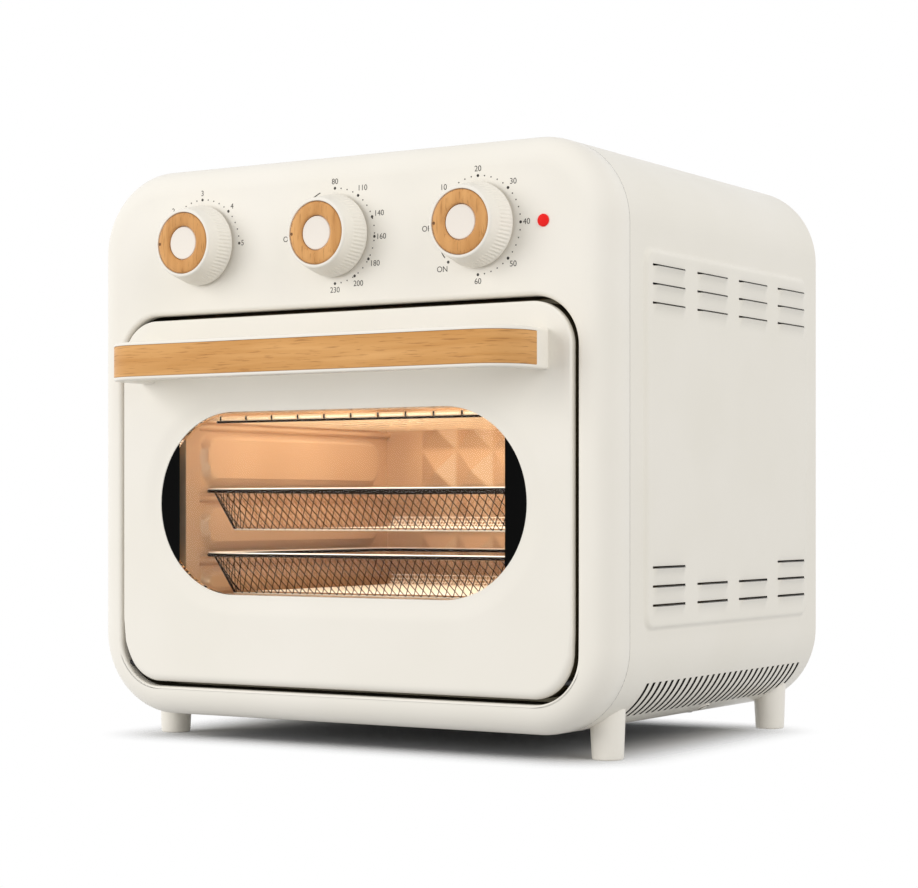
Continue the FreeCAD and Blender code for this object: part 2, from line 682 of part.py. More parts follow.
def make_cavity_ceiling():
    """Cavity ceiling sheet with the round fan opening."""
    reach = CAVITY_HALF + PANEL_DEPTH + 2 * LINER
    sheet = box(-reach, reach, CAVITY_Y, BACK_Y + LINER, CAVITY_TOP, CAVITY_TOP + LINER)
    hole_start = V(0, FAN_Y, CAVITY_TOP)
    return sheet.cut(rod(hole_start, hole_start + V(0, 0, LINER), SHROUD_RADIUS - CEILING_LIP))


def make_cavity_back():
    """Cavity rear sheet embossed with pyramids that face the food."""
    sheet = box(-CAVITY_HALF - LINER, CAVITY_HALF + LINER, BACK_Y, BACK_Y + LINER, CAVITY_FLOOR, CAVITY_TOP)
    columns = int((2 * CAVITY_HALF - PYRAMID_PITCH) / PYRAMID_PITCH)
    rows = int((CAVITY_TOP - CAVITY_FLOOR) / PYRAMID_PITCH)
    middle = (CAVITY_TOP + CAVITY_FLOOR) / 2
    half = PYRAMID_BASE / 2
    bumps = []
    for row in range(rows):
        for column in range(columns):
            x = (column - (columns - 1) / 2) * PYRAMID_PITCH
            z = middle + (row - (rows - 1) / 2) * PYRAMID_PITCH
            base = [V(x - half, BACK_Y, z - half), V(x + half, BACK_Y, z - half),
                    V(x + half, BACK_Y, z + half), V(x - half, BACK_Y, z + half)]
            tip = V(x, BACK_Y - PYRAMID_HEIGHT, z)
            faces = [Part.Face(Part.makePolygon(base + base[:1]))]
            for a, b in zip(base, base[1:] + base[:1]):
                faces.append(Part.Face(Part.makePolygon([a, b, tip, a])))
            bumps.append(Part.makeSolid(Part.makeShell(faces)))
    return sheet.multiFuse(bumps).removeSplitter()


def heater_leg_points(z):
    """Feet of the ring element's two legs at one height."""
    x = HEATER_LEG_SPREAD / 2
    y = FAN_Y + math.sqrt(HEATER_RING ** 2 - x ** 2)
    return [V(-x, y, z), V(x, y, z)]


def make_shroud():
    """Round pan over the ceiling opening that houses the fan."""
    axis_foot = V(0, FAN_Y, SHROUD_Z)
    pan = rod(axis_foot, axis_foot + V(0, 0, SHROUD_HEIGHT + LINER), SHROUD_RADIUS + LINER)
    pan = pan.fuse(rod(axis_foot, axis_foot + V(0, 0, LINER), SHROUD_RADIUS + SHROUD_FLANGE))
    pan = pan.cut(rod(axis_foot, axis_foot + V(0, 0, SHROUD_HEIGHT), SHROUD_RADIUS))
    through = V(0, 0, SHROUD_HEIGHT + 2 * LINER)
    holes = [rod(axis_foot, axis_foot + through, SHAFT_RADIUS + BORE_PLAY)]
    for start in heater_leg_points(SHROUD_Z):
        holes.append(rod(start, start + through, HEATER_RADIUS + 2 * FIT))
    return pan.cut(Part.makeCompound(holes)).removeSplitter()


def make_guard():
    """Stamped guard under the fan: a disc with radial slots, on the ceiling's underside."""
    start = V(0, FAN_Y, CAVITY_TOP - LINER)
    disc = rod(start, start + V(0, 0, LINER), SHROUD_RADIUS + GUARD_OVERLAP)
    slots = []
    for index in range(GUARD_SLOTS):
        long = index % 2 == 0
        slot_start = GUARD_HUB if long else GUARD_SHORT_START
        slot = box(slot_start, SHROUD_RADIUS - GUARD_RIM, -GUARD_SLOT_WIDTH / 2, GUARD_SLOT_WIDTH / 2, 0, LINER)
        slot.rotate(V(0, 0, 0), Z_AXIS, index * 360.0 / GUARD_SLOTS)
        slot.translate(start)
        slots.append(slot)
    return disc.cut(Part.makeCompound(slots))


def make_upper_heater():
    """Ring heating element round the fan, with two legs up through the shroud."""
    z = SHROUD_Z + HEATER_LIFT
    feet = heater_leg_points(z)
    gap = math.degrees(math.asin(HEATER_LEG_SPREAD / 2 / HEATER_RING))
    centre = V(0, FAN_Y, z)
    section = wire_section(feet[0], (feet[0] - centre).normalize(), Z_AXIS, HEATER_RADIUS)
    pieces = [section.revolve(centre, Z_AXIS, 360 - 2 * gap)]
    for foot in feet:
        low = foot - V(0, 0, HEATER_RADIUS)
        pieces.append(rod(low, foot + V(0, 0, SHROUD_HEIGHT + HEATER_LEG_PROUD), HEATER_RADIUS))
    return merged(pieces)


def make_lower_heaters():
    """Two straight heating rods above the cavity floor."""
    reach = CAVITY_HALF + LINER + HEATER_END_LENGTH + HEATER_TAIL
    z = lower_heater_height()
    return Part.makeCompound([rod(V(-reach, y, z), V(reach, y, z), HEATER_RADIUS) for y in lower_heater_depths()])


def make_heater_ends():
    """Ceramic ends that carry the lower rods outside the cavity walls."""
    ends = []
    z = lower_heater_height()
    for sign in (-1, 1):
        for y in lower_heater_depths():
            near = V(sign * (CAVITY_HALF + LINER), y, z)
            far = near + V(sign * HEATER_END_LENGTH, 0, 0)
            ends.append(rod(near, far, HEATER_RADIUS + HEATER_END_WALL).cut(rod(near, far, HEATER_RADIUS + FIT)))
    return Part.makeCompound(ends)


def make_fan():
    """Radial fan: backplate, hub and swept blades."""
    start = V(0, FAN_Y, FAN_Z)
    top = start + V(0, 0, FAN_HEIGHT)
    plate = rod(top - V(0, 0, FAN_SHEET), top, FAN_RADIUS - FAN_PLATE_STEP)
    hub = rod(start, top + V(0, 0, FAN_HUB_PROUD), FAN_HUB_RADIUS)
    blades = []
    for index in range(FAN_BLADES):
        blade = box(BLADE_START, FAN_RADIUS, -FAN_SHEET / 2, FAN_SHEET / 2, 0, FAN_HEIGHT)
        blade.rotate(V(BLADE_START, 0, 0), Z_AXIS, BLADE_ANGLE)
        blade.rotate(V(0, 0, 0), Z_AXIS, index * 360.0 / FAN_BLADES)
        blade.translate(start)
        blades.append(blade)
    bore = rod(start, top + V(0, 0, FAN_HUB_PROUD), SHAFT_RADIUS)
    return merged([plate, hub] + blades).cut(bore)


def make_fan_shaft():
    """Motor shaft that carries the fan."""
    return rod(V(0, FAN_Y, FAN_Z), V(0, FAN_Y, MOTOR_Z + MOTOR_HEIGHT / 2), SHAFT_RADIUS)


def make_motor():
    """Fan motor with its laminated ring and end caps."""
    start = V(0, FAN_Y, MOTOR_Z + BRIDGE_HEIGHT)
    can = rod(start, start + V(0, 0, MOTOR_HEIGHT), MOTOR_RADIUS)
    can = can.makeChamfer(MOTOR_CHAMFER, [e for e in can.Edges if e.Length > 1.5 * math.pi * MOTOR_RADIUS])
    stack = start + V(0, 0, (MOTOR_HEIGHT - MOTOR_CORE_HEIGHT) / 2)
    core = rod(stack, stack + V(0, 0, MOTOR_CORE_HEIGHT), MOTOR_RADIUS + MOTOR_CORE_WALL)
    bore = rod(start, start + V(0, 0, MOTOR_HEIGHT / 2), SHAFT_RADIUS + SHAFT_CLEARANCE)
    return merged([can, core]).cut(bore)


def make_motor_bracket():
    """Bridge on the shroud that carries the motor."""
    top = MOTOR_Z + BRIDGE_HEIGHT
    reach = MOTOR_RADIUS + BRIDGE_REACH
    arch = reach - BRIDGE_FOOT
    y0 = FAN_Y - BRIDGE_DEPTH / 2
    y1 = FAN_Y + BRIDGE_DEPTH / 2
    bridge = box(-reach, reach, y0, y1, MOTOR_Z, top)
    cuts = [box(-arch, arch, y0, y1, MOTOR_Z, top - SHEET)]
    for sign in (-1, 1):
        xs = sorted((sign * reach, sign * (arch + SHEET)))
        cuts.append(box(*xs, y0, y1, MOTOR_Z + SHEET, top))
    cuts.append(rod(V(0, FAN_Y, MOTOR_Z), V(0, FAN_Y, top), SHAFT_RADIUS + BORE_PLAY))
    return bridge.cut(Part.makeCompound(cuts))


def make_control_bracket():
    """Steel plate behind the bezel that carries the three controls."""
    reach = HALF - BRACKET_MARGIN
    rise = BRACKET_HEIGHT / 2
    plate = rounded(-reach, reach, BRACKET_Y, CONTROL_Y, KNOB_Z - rise, KNOB_Z + rise, BRACKET_CORNER, Y_AXIS)
    holes = []
    for x in knob_centres().values():
        holes.append(rod(V(x, BRACKET_Y, KNOB_Z), V(x, CONTROL_Y, KNOB_Z), SHAFT_RADIUS + CONTROL_BUSH_WALL))
    for x in bracket_posts():
        holes.append(rod(V(x, BRACKET_Y, KNOB_Z), V(x, CONTROL_Y, KNOB_Z), SCREW_SHANK_RADIUS))
    holes.append(rod(V(LAMP_OFFSET, BRACKET_Y, KNOB_Z), V(LAMP_OFFSET, CONTROL_Y, KNOB_Z), LAMP_HOLDER_RADIUS))
    return plate.cut(Part.makeCompound(holes))


def make_control(x, depth, round_case):
    """Control body behind the bracket with a threaded bush round the shaft."""
    face = V(x, CONTROL_Y, KNOB_Z)
    half = CONTROL_SIZE / 2
    if round_case:
        case = rod(face, face + V(0, depth, 0), half)
    else:
        case = rounded(x - half, x + half, CONTROL_Y, CONTROL_Y + depth, KNOB_Z - half, KNOB_Z + half,
                       CONTROL_CORNER, Y_AXIS)
    bush = rod(face - V(0, CONTROL_BUSH_LENGTH, 0), face, SHAFT_RADIUS + CONTROL_BUSH_WALL - FIT)
    tab_z = KNOB_Z - half + TAB_RISE
    terminals = []
    for index in (-1, 0, 1):
        tab_x = x + index * TAB_PITCH
        terminals.append(box(tab_x - TAB_WIDTH / 2, tab_x + TAB_WIDTH / 2, CONTROL_Y + depth - TAB_THICKNESS,
                             CONTROL_Y + depth + TAB_REACH, tab_z, tab_z + TAB_THICKNESS))
    bore = rod(face - V(0, CONTROL_BUSH_LENGTH, 0), face + V(0, SHAFT_SEAT + CONTROL_BUSH_WALL, 0),
               SHAFT_RADIUS + SHAFT_CLEARANCE)
    return merged([case, bush] + terminals).cut(bore)


def make_control_shaft(x):
    """Control shaft from its body out into the knob, with the flat that drives the knob."""
    end = KNOB_FACE_Y + 2 * RING_DEPTH
    shaft = rod(V(x, CONTROL_Y + SHAFT_SEAT, KNOB_Z), V(x, end, KNOB_Z), SHAFT_RADIUS)
    flat = box(x - SHAFT_RADIUS, x + SHAFT_RADIUS, end, FACE_Y - KNOB_GAP, KNOB_Z + SHAFT_RADIUS - SHAFT_FLAT,
               KNOB_Z + SHAFT_RADIUS)
    return shaft.cut(flat)


def make_knob_skirt(x):
    """Tapered, finely ribbed knob body with the ring groove and the D-shaped shaft bore."""
    back_y = FACE_Y - KNOB_GAP
    centre = V(x, back_y, KNOB_Z)
    cone_end = KNOB_LENGTH - KNOB_EASE
    outline = [V(0, 0, 0), V(KNOB_BASE_RADIUS, 0, 0), V(KNOB_BASE_RADIUS, KNOB_RIM, 0),
               V(KNOB_FACE_RADIUS, cone_end, 0), V(KNOB_FACE_RADIUS - KNOB_EASE, KNOB_LENGTH, 0),
               V(0, KNOB_LENGTH, 0)]
    profile = Part.Face(Part.makePolygon([centre + V(p.x, -p.y, 0) for p in outline + outline[:1]]))
    body = profile.revolve(centre, Y_AXIS, 360)
    slope = math.degrees(math.atan((KNOB_BASE_RADIUS - KNOB_FACE_RADIUS) / (cone_end - KNOB_RIM)))
    root = KNOB_BASE_RADIUS - KNOB_RIB_DEPTH
    grooves = []
    for index in range(KNOB_RIBS):
        groove = box(root, KNOB_BASE_RADIUS + KNOB_WALL, -KNOB_RIB_END, -KNOB_RIB_START, -KNOB_RIB_WIDTH / 2,
                     KNOB_RIB_WIDTH / 2)
        groove.rotate(V(root, -KNOB_RIB_START, 0), Z_AXIS, -slope)
        groove.rotate(V(0, 0, 0), Y_AXIS, index * 360.0 / KNOB_RIBS)
        groove.translate(centre)
        grooves.append(groove)
    seat = V(x, KNOB_FACE_Y + RING_DEPTH, KNOB_Z)
    ring = rod(V(x, KNOB_FACE_Y, KNOB_Z), seat, RING_OUTER_RADIUS)
    bore = rod(seat, centre, SHAFT_RADIUS)
    flat = box(x - SHAFT_RADIUS, x + SHAFT_RADIUS, seat.y, back_y, KNOB_Z + SHAFT_RADIUS - SHAFT_FLAT,
               KNOB_Z + SHAFT_RADIUS)
    depth = V(0, KNOB_HOLLOW, 0)
    hollow = rod(centre - depth, centre, KNOB_BASE_RADIUS - KNOB_WALL)
    hollow = hollow.cut(rod(centre - depth, centre, SHAFT_RADIUS + KNOB_HUB))
    body = body.cut(Part.makeCompound(grooves)).cut(hollow)
    return body.cut(ring).cut(bore.cut(flat))


def make_knob_ring(x):
    """Wooden ring with a crowned face, let into the knob."""
    outer = RING_OUTER_RADIUS - FIT
    inner = RING_INNER_RADIUS
    low = RING_DEPTH - RING_CROWN
    high = RING_DEPTH + RING_CROWN
    centre = V(x, KNOB_FACE_Y + RING_DEPTH, KNOB_Z)
    outline = [V(inner, 0, 0), V(outer, 0, 0), V(outer, low, 0), V(outer - RING_EASE, high, 0),
               V(inner + RING_EASE, high, 0), V(inner, low, 0)]
    profile = Part.Face(Part.makePolygon([centre + V(p.x, -p.y, 0) for p in outline + outline[:1]]))
    return profile.revolve(centre, Y_AXIS, 360)


def make_knob_cap(x):
    """Centre cap of the knob, set slightly below the ring, closing the shaft bore."""
    seat_y = KNOB_FACE_Y + RING_DEPTH
    cap = rod(V(x, KNOB_FACE_Y + CAP_RECESS, KNOB_Z), V(x, seat_y, KNOB_Z), RING_INNER_RADIUS - FIT)
    rim = [e for e in cap.Edges if all(abs(v.Y - KNOB_FACE_Y - CAP_RECESS) < 1e-6 for v in e.Vertexes)]
    return cap.makeChamfer(CAP_CHAMFER, rim)


def make_lamp_lens():
    """Domed red lens of the power lamp."""
    start = V(LAMP_OFFSET, FACE_Y - LAMP_PROUD, KNOB_Z)
    barrel = rod(start, start + V(0, LAMP_LENGTH, 0), LAMP_RADIUS - FIT)
    rim = [e for e in barrel.Edges if all(abs(v.Y - start.y) < 1e-6 for v in e.Vertexes)]
    return barrel.makeChamfer(LAMP_CHAMFER, rim)


def make_lamp_holder():
    """Holder pressed behind the lens, through the control bracket."""
    start = V(LAMP_OFFSET, FACE_Y - LAMP_PROUD + LAMP_LENGTH, KNOB_Z)
    flange = rod(start, start + V(0, LAMP_FLANGE, 0), LAMP_HOLDER_RADIUS + SHEET)
    body = rod(start, V(LAMP_OFFSET, CONTROL_Y + LAMP_LENGTH, KNOB_Z), LAMP_HOLDER_RADIUS - FIT)
    return flange.fuse(body).removeSplitter()


def make_door_panel():
    """Moulded door shell: bevelled window opening, glass seat, hinge bosses."""
    back_y = DOOR_Y + DOOR_DEPTH
    shell = filleted_front(door_block(0, DOOR_Y, back_y), DOOR_Y, DOOR_EDGE_FILLET)
    hollow = door_block(-DOOR_WALL, DOOR_Y + DOOR_WALL, back_y + OVERRUN)
    boss = window_block(GLASS_OVERLAP + DOOR_WALL, DOOR_Y, MASK_Y + MASK_THICKNESS)
    hollow = hollow.cut(boss)
    for sign in (-1, 1):
        xs = sorted((sign * (DOOR_HALF - DOOR_RADIUS - HINGE_BOSS), sign * (DOOR_HALF - HINGE_BOSS)))
        block = box(*xs, DOOR_Y, HINGE_Y + HINGE_BOSS, DOOR_Z, HINGE_Z + HINGE_BOSS)
        hollow = hollow.cut(block)
    for point in handle_screw_points():
        hollow = hollow.cut(rod(point - V(0, HANDLE_POST_DEPTH, 0), point, HANDLE_POST_RADIUS))
    cuts = [window_block(0, DOOR_Y - OVERRUN, back_y), window_block(GLASS_OVERLAP, GLASS_Y, back_y),
            Part.makeLoft([window_wire(WINDOW_BEVEL, DOOR_Y), window_wire(0, GLASS_Y - SHEET)], True, True)]
    cuts += [make_hinge_pin(sign) for sign in (-1, 1)]
    for point in handle_screw_points():
        cuts.append(rod(point - V(0, HANDLE_SCREW_LENGTH, 0), point, SCREW_SHANK_RADIUS))
    return shell.cut(hollow).cut(Part.makeCompound(cuts)).removeSplitter()


def make_glass():
    """Window pane in its seat behind the lip."""
    return window_block(GLASS_OVERLAP - GLASS_PLAY, GLASS_Y, MASK_Y)


def make_mask():
    """Black end fields behind the pane, straight towards the view."""
    back_y = MASK_Y + MASK_THICKNESS
    field = window_block(GLASS_OVERLAP - GLASS_PLAY, MASK_Y, back_y)
    return field.cut(box(-VIEW_WIDTH / 2, VIEW_WIDTH / 2, MASK_Y, back_y, BASE_Z, TOP_Z))


def make_door_liner():
    """Steel inner door panel with a flanged view opening."""
    back_y = DOOR_Y + DOOR_DEPTH
    plate = door_block(-DOOR_WALL - LINER_PLAY, back_y - LINER, back_y)
    half_view = VIEW_WIDTH / 2
    half_height = WINDOW_HEIGHT / 2
    front_y = MASK_Y + MASK_THICKNESS
    tube = box(-half_view - LINER, half_view + LINER, front_y, back_y, WINDOW_Z - half_height - LINER,
               WINDOW_Z + half_height + LINER)
    view = box(-half_view, half_view, front_y, back_y, WINDOW_Z - half_height, WINDOW_Z + half_height)
    rest = window_block(GLASS_OVERLAP - GLASS_PLAY, front_y, front_y + LINER)
    return merged([plate, tube, rest]).cut(view)


def handle_z():
    """Height of the handle's middle."""
    return DOOR_TOP_Z - HANDLE_DROP


def handle_screw_points():
    """Places of the handle screws behind the door shell."""
    x = (HANDLE_WIDTH - HANDLE_THICKNESS) / 2
    return [V(sign * x, DOOR_Y + HANDLE_POST_DEPTH, handle_z()) for sign in (-1, 1)]


def handle_path(inset):
    """Plan of the handle: straight front, two bends, two legs back to the door."""
    half = HANDLE_WIDTH / 2 - inset
    front = FACE_Y - HANDLE_REACH + inset
    bend = HANDLE_BEND - inset
    diagonal = bend * (1 - math.sqrt(0.5))
    return half, front, bend, diagonal


def handle_outline(inset, leg_end):
    """Closed plan outline from the door round the handle's outer side, as edges without the back."""
    half, front, bend, diagonal = handle_path(inset)
    points = [V(-half, leg_end, 0), V(-half, front + bend, 0), V(-half + diagonal, front + diagonal, 0),
              V(-half + bend, front, 0), V(half - bend, front, 0), V(half - diagonal, front + diagonal, 0),
              V(half, front + bend, 0), V(half, leg_end, 0)]
    return points


def handle_solid(inset, leg_end, z0, z1):
    """Block under the handle's plan outline between two heights."""
    p = handle_outline(inset, leg_end)
    edges = [Part.LineSegment(p[0], p[1]).toShape(), Part.Arc(p[1], p[2], p[3]).toShape(),
             Part.LineSegment(p[3], p[4]).toShape(), Part.Arc(p[4], p[5], p[6]).toShape(),
             Part.LineSegment(p[6], p[7]).toShape(), Part.LineSegment(p[7], p[0]).toShape()]
    solid = Part.Face(Part.Wire(edges)).extrude(V(0, 0, z1 - z0))
    solid.translate(V(0, 0, z0))
    return solid


def make_handle():
    """Bow handle with a groove for the wooden strip along its front and bends."""
    low = handle_z() - HANDLE_HEIGHT / 2
    high = handle_z() + HANDLE_HEIGHT / 2
    bow = handle_solid(0, DOOR_Y, low, high).cut(handle_solid(HANDLE_THICKNESS, DOOR_Y, low, high))
    groove = handle_solid(0, strip_end(), handle_z() - STRIP_HEIGHT / 2, handle_z() + STRIP_HEIGHT / 2)
    groove = groove.cut(handle_solid(STRIP_DEPTH, strip_end(), low, high))
    bow = bow.cut(groove)
    reach = V(0, HANDLE_SCREW_LENGTH, 0)
    holes = [rod(point - reach, point, SCREW_SHANK_RADIUS) for point in handle_screw_points()]
    return bow.cut(Part.makeCompound(holes)).removeSplitter()


def strip_end():
    """Depth at which the wooden strip ends on the legs."""
    return FACE_Y - HANDLE_REACH + STRIP_END


def make_strip():
    """Wooden strip let into the handle's front and bends."""
    low = handle_z() - STRIP_HEIGHT / 2 + FIT
    high = handle_z() + STRIP_HEIGHT / 2 - FIT
    strip = handle_solid(0, strip_end(), low, high)
    return strip.cut(handle_solid(STRIP_DEPTH, strip_end(), low, high))


def hinge_wall_x():
    """X of the outer side of the bezel's return wall at the hinge's height."""
    radius = DOOR_RADIUS + DOOR_GAP + BEZEL_WALL
    drop = DOOR_RADIUS - HINGE_RISE
    return DOOR_HALF - DOOR_RADIUS + math.sqrt(radius ** 2 - drop ** 2)


def make_hinge_pin(sign):
    """Pivot pin pressed in the door's boss."""
    inner = V(sign * (DOOR_HALF - DOOR_RADIUS), HINGE_Y, HINGE_Z)
    outer = V(sign * (hinge_wall_x() + BUSH_LENGTH - PIN_SHORT), HINGE_Y, HINGE_Z)
    return rod(inner, outer, HINGE_PIN_RADIUS)


def make_hinge_bush(sign):
    """Bush in the bezel's hollow, beside the return wall, in which the pin turns."""
    near = V(sign * (hinge_wall_x() - BUSH_LENGTH), HINGE_Y, HINGE_Z)
    far = V(sign * (hinge_wall_x() + BUSH_LENGTH), HINGE_Y, HINGE_Z)
    bush = rod(near, far, BUSH_RADIUS).common(bezel_hollow())
    return bush.cut(rod(near, far, HINGE_PIN_RADIUS + HINGE_CLEARANCE))


def rim_loop(level):
    """Round-cornered rim wire of a basket or the rack."""
    corners = [V(-RIM_X, RIM_FRONT_Y, level), V(RIM_X, RIM_FRONT_Y, level),
               V(RIM_X, RIM_BACK_Y, level), V(-RIM_X, RIM_BACK_Y, level)]
    pieces = []
    for index, corner in enumerate(corners):
        following = corners[(index + 1) % 4]
        along = (following - corner).normalize()
        before = (corners[index - 1] - corner).normalize()
        centre = corner + (along + before) * RIM_CORNER
        bend = wire_section(corner + before * RIM_CORNER, along, Z_AXIS, RIM_RADIUS)
        pieces.append(bend.revolve(centre, Z_AXIS, 90))
        run = wire_section(corner + along * RIM_CORNER, before, Z_AXIS, RIM_RADIUS)
        pieces.append(run.extrude(following - corner - along * 2 * RIM_CORNER))
    return merged(pieces)


def make_rack():
    """Wire rack: rim wire with cross wires from front to back."""
    wires = [rim_loop(RACK_LEVEL)]
    pitch = 2 * RIM_X / (CROSS_WIRES + 1)
    for index in range(CROSS_WIRES):
        x = -RIM_X + (index + 1) * pitch
        section = wire_section(V(x, RIM_FRONT_Y, RACK_LEVEL), X_AXIS, Z_AXIS, CROSS_WIRE_RADIUS)
        wires.append(section.extrude(V(0, RIM_BACK_Y - RIM_FRONT_Y, 0)))
    return merged(wires)


def basket_section(inset, z):
    """Round-cornered basket outline at one height, drawn in by an inset."""
    x = RIM_X - inset
    block = rounded(-x, x, RIM_FRONT_Y + inset, RIM_BACK_Y - inset, z, z + 1, RIM_CORNER - inset, Z_AXIS)
    face = [f for f in block.Faces if abs(f.CenterOfMass.z - z) < 1e-6]
    return face[0].OuterWire


def diamond(centre, across, along, normal, depth):
    """Rhombic cutter through a net."""
    points = [centre + across, centre + along, centre - across, centre - along]
    face = Part.Face(Part.makePolygon([p - normal * depth for p in points + points[:1]]))
    return face.extrude(normal * 2 * depth)


def net_openings(top, bottom, first):
    """Diamond cutters for a basket's floor and its four sides."""
    inset = first + BASKET_TAPER + NET_BORDER
    width = 2 * (RIM_X - inset)
    depth = RIM_BACK_Y - RIM_FRONT_Y - 2 * inset
    middle_y = (RIM_FRONT_Y + RIM_BACK_Y) / 2
    middle_z = (top + bottom) / 2
    across_x = X_AXIS * (NET_OPEN * width / NET_COLUMNS / 2)
    across_y = Y_AXIS * (NET_OPEN * depth / NET_ROWS / 2)
    upward = Z_AXIS * ((top - bottom) / 2 - NET_BORDER)
    columns = [(index + 0.5) * width / NET_COLUMNS - width / 2 for index in range(NET_COLUMNS)]
    rows = [middle_y + (index + 0.5) * depth / NET_ROWS - depth / 2 for index in range(NET_ROWS)]
    cuts = [diamond(V(x, y, bottom), across_x, across_y, Z_AXIS, NET_BORDER) for x in columns for y in rows]
    reach = first + BASKET_TAPER + NET_BORDER
    for y in (RIM_FRONT_Y, RIM_BACK_Y):
        cuts += [diamond(V(x, y, middle_z), across_x, upward, Y_AXIS, reach) for x in columns]
    for x in (-RIM_X, RIM_X):
        cuts += [diamond(V(x, y, middle_z), across_y, upward, X_AXIS, reach) for y in rows]
    return Part.makeCompound(cuts)


def net_panels(net, bottom):
    """A basket's folded net as its floor, its four flat sides and its four round corners."""
    fold = bottom + NET_THICKNESS
    x = RIM_X - RIM_CORNER
    y0 = RIM_FRONT_Y + RIM_CORNER
    y1 = RIM_BACK_Y - RIM_CORNER
    xs = ((-RIM_X, -x), (-x, x), (x, RIM_X))
    ys = ((RIM_FRONT_Y, y0), (y0, y1), (y1, RIM_BACK_Y))
    panels = [net.common(box(-RIM_X, RIM_X, RIM_FRONT_Y, RIM_BACK_Y, bottom, fold))]
    for column, (x0, x1) in enumerate(xs):
        for row, (low, high) in enumerate(ys):
            if column == 1 and row == 1:
                continue
            panels.append(net.common(box(x0, x1, low, high, fold, bottom + BASKET_DEPTH)))
    return Part.makeCompound([panel.Solids[0] for panel in panels])


def make_basket_net(level):
    """Tapered mesh basket below its rim: floor and four sides with diamond openings."""
    top = level - RIM_RADIUS + NET_TUCK
    bottom = level - BASKET_DEPTH
    first = RIM_RADIUS - NET_STEP + FIT
    outer = Part.makeLoft([basket_section(first, top), basket_section(first + BASKET_TAPER, bottom)], True, True)
    inner = Part.makeLoft([basket_section(first + NET_THICKNESS, top + FIT),
                           basket_section(first + NET_THICKNESS + BASKET_TAPER, bottom + NET_THICKNESS)], True, True)
    return net_panels(outer.cut(inner).cut(net_openings(top, bottom, first)), bottom)


def make_crumb_tray():
    """Low pan on the cavity floor that catches crumbs."""
    x = CAVITY_HALF - SIDE_PLAY
    y0 = CAVITY_Y + FRONT_PLAY
    y1 = BACK_Y - PYRAMID_HEIGHT - TRAY_REAR_PLAY
    top = CAVITY_FLOOR + TRAY_HEIGHT
    pan = rounded(-x, x, y0, y1, CAVITY_FLOOR, top, TRAY_CORNER, Z_AXIS)
    return pan.cut(rounded(-x + LINER, x - LINER, y0 + LINER, y1 - LINER, CAVITY_FLOOR + LINER, top,
                           TRAY_CORNER - LINER, Z_AXIS))


def build():
    """All pieces by node name."""
    pieces = {
        "front_bezel": make_bezel(),
        "casing_wrap": make_wrap(),
        "rear_panel": make_rear_panel(),
        "rear_screws": make_screws(rear_screw_points(), Y_AXIS, SCREW_LENGTH),
        "base_panel": make_base_panel(),
        "base_screws": make_screws(base_screw_points(), -Z_AXIS, SCREW_LENGTH),
        "cord_gland": make_cord_gland(),
        "cavity_frame": make_front_frame(),
        "cavity_floor": make_cavity_floor(),
        "cavity_ceiling": make_cavity_ceiling(),
        "cavity_back": make_cavity_back(),
        "crumb_tray": make_crumb_tray(),
        "fan_shroud": make_shroud(),
        "fan_guard": make_guard(),
        "fan_impeller": make_fan(),
        "fan_shaft": make_fan_shaft(),
        "fan_motor": make_motor(),
        "motor_bracket": make_motor_bracket(),
        "upper_heater": make_upper_heater(),
        "lower_heaters": make_lower_heaters(),
        "heater_ends": make_heater_ends(),
        "control_bracket": make_control_bracket(),
        "bracket_screws": make_screws([V(x, CONTROL_Y, KNOB_Z) for x in bracket_posts()], Y_AXIS,
                                      BRACKET_SCREW_LENGTH),
        "power_lamp_lens": make_lamp_lens(),
        "power_lamp_holder": make_lamp_holder(),
        "door_panel": make_door_panel(),
        "door_liner": make_door_liner(),
        "window_glass": make_glass(),
        "window_mask": make_mask(),
        "hinge_pins": Part.makeCompound([make_hinge_pin(sign) for sign in (-1, 1)]),
        "hinge_bushes": Part.makeCompound([make_hinge_bush(sign) for sign in (-1, 1)]),
        "handle_bow": make_handle(),
        "handle_strip": make_strip(),
        "handle_screws": make_screws(handle_screw_points(), Y_AXIS, HANDLE_SCREW_LENGTH),
        "wire_rack": make_rack(),
        "upper_basket_rim": rim_loop(UPPER_LEVEL),
        "upper_basket_net": make_basket_net(UPPER_LEVEL),
        "lower_basket_rim": rim_loop(LOWER_LEVEL),
        "lower_basket_net": make_basket_net(LOWER_LEVEL),
    }
    for side, sign in (("left", -1), ("right", 1)):
        pieces["cavity_wall_" + side] = make_side_wall(sign)
        pieces["foot_front_" + side] = make_foot(sign, FOOT_FRONT)
        pieces["foot_rear_" + side] = make_foot(sign, FOOT_REAR)
    for name, x in knob_centres().items():
        pieces[name + "_knob"] = make_knob_skirt(x)
        pieces[name + "_knob_ring"] = make_knob_ring(x)
        pieces[name + "_knob_cap"] = make_knob_cap(x)
        pieces[name + "_shaft"] = make_control_shaft(x)
    pieces["function_switch"] = make_control(-KNOB_PITCH, CONTROL_DEPTH, False)
    pieces["thermostat"] = make_control(0.0, CONTROL_DEPTH, True)
    pieces["timer"] = make_control(KNOB_PITCH, CONTROL_DEPTH + TIMER_EXTRA_DEPTH, False)
    return pieces


os.makedirs("parts", exist_ok=True)
for node, shape in build().items():
    shape.exportStep("parts/" + node + ".step")
    if not shape.isValid():
        print("not valid:", node)
    print(node, len(shape.Solids), round(shape.Volume), len(shape.Faces))
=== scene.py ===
import logging
import math
from dataclasses import dataclass, replace
from enum import Enum

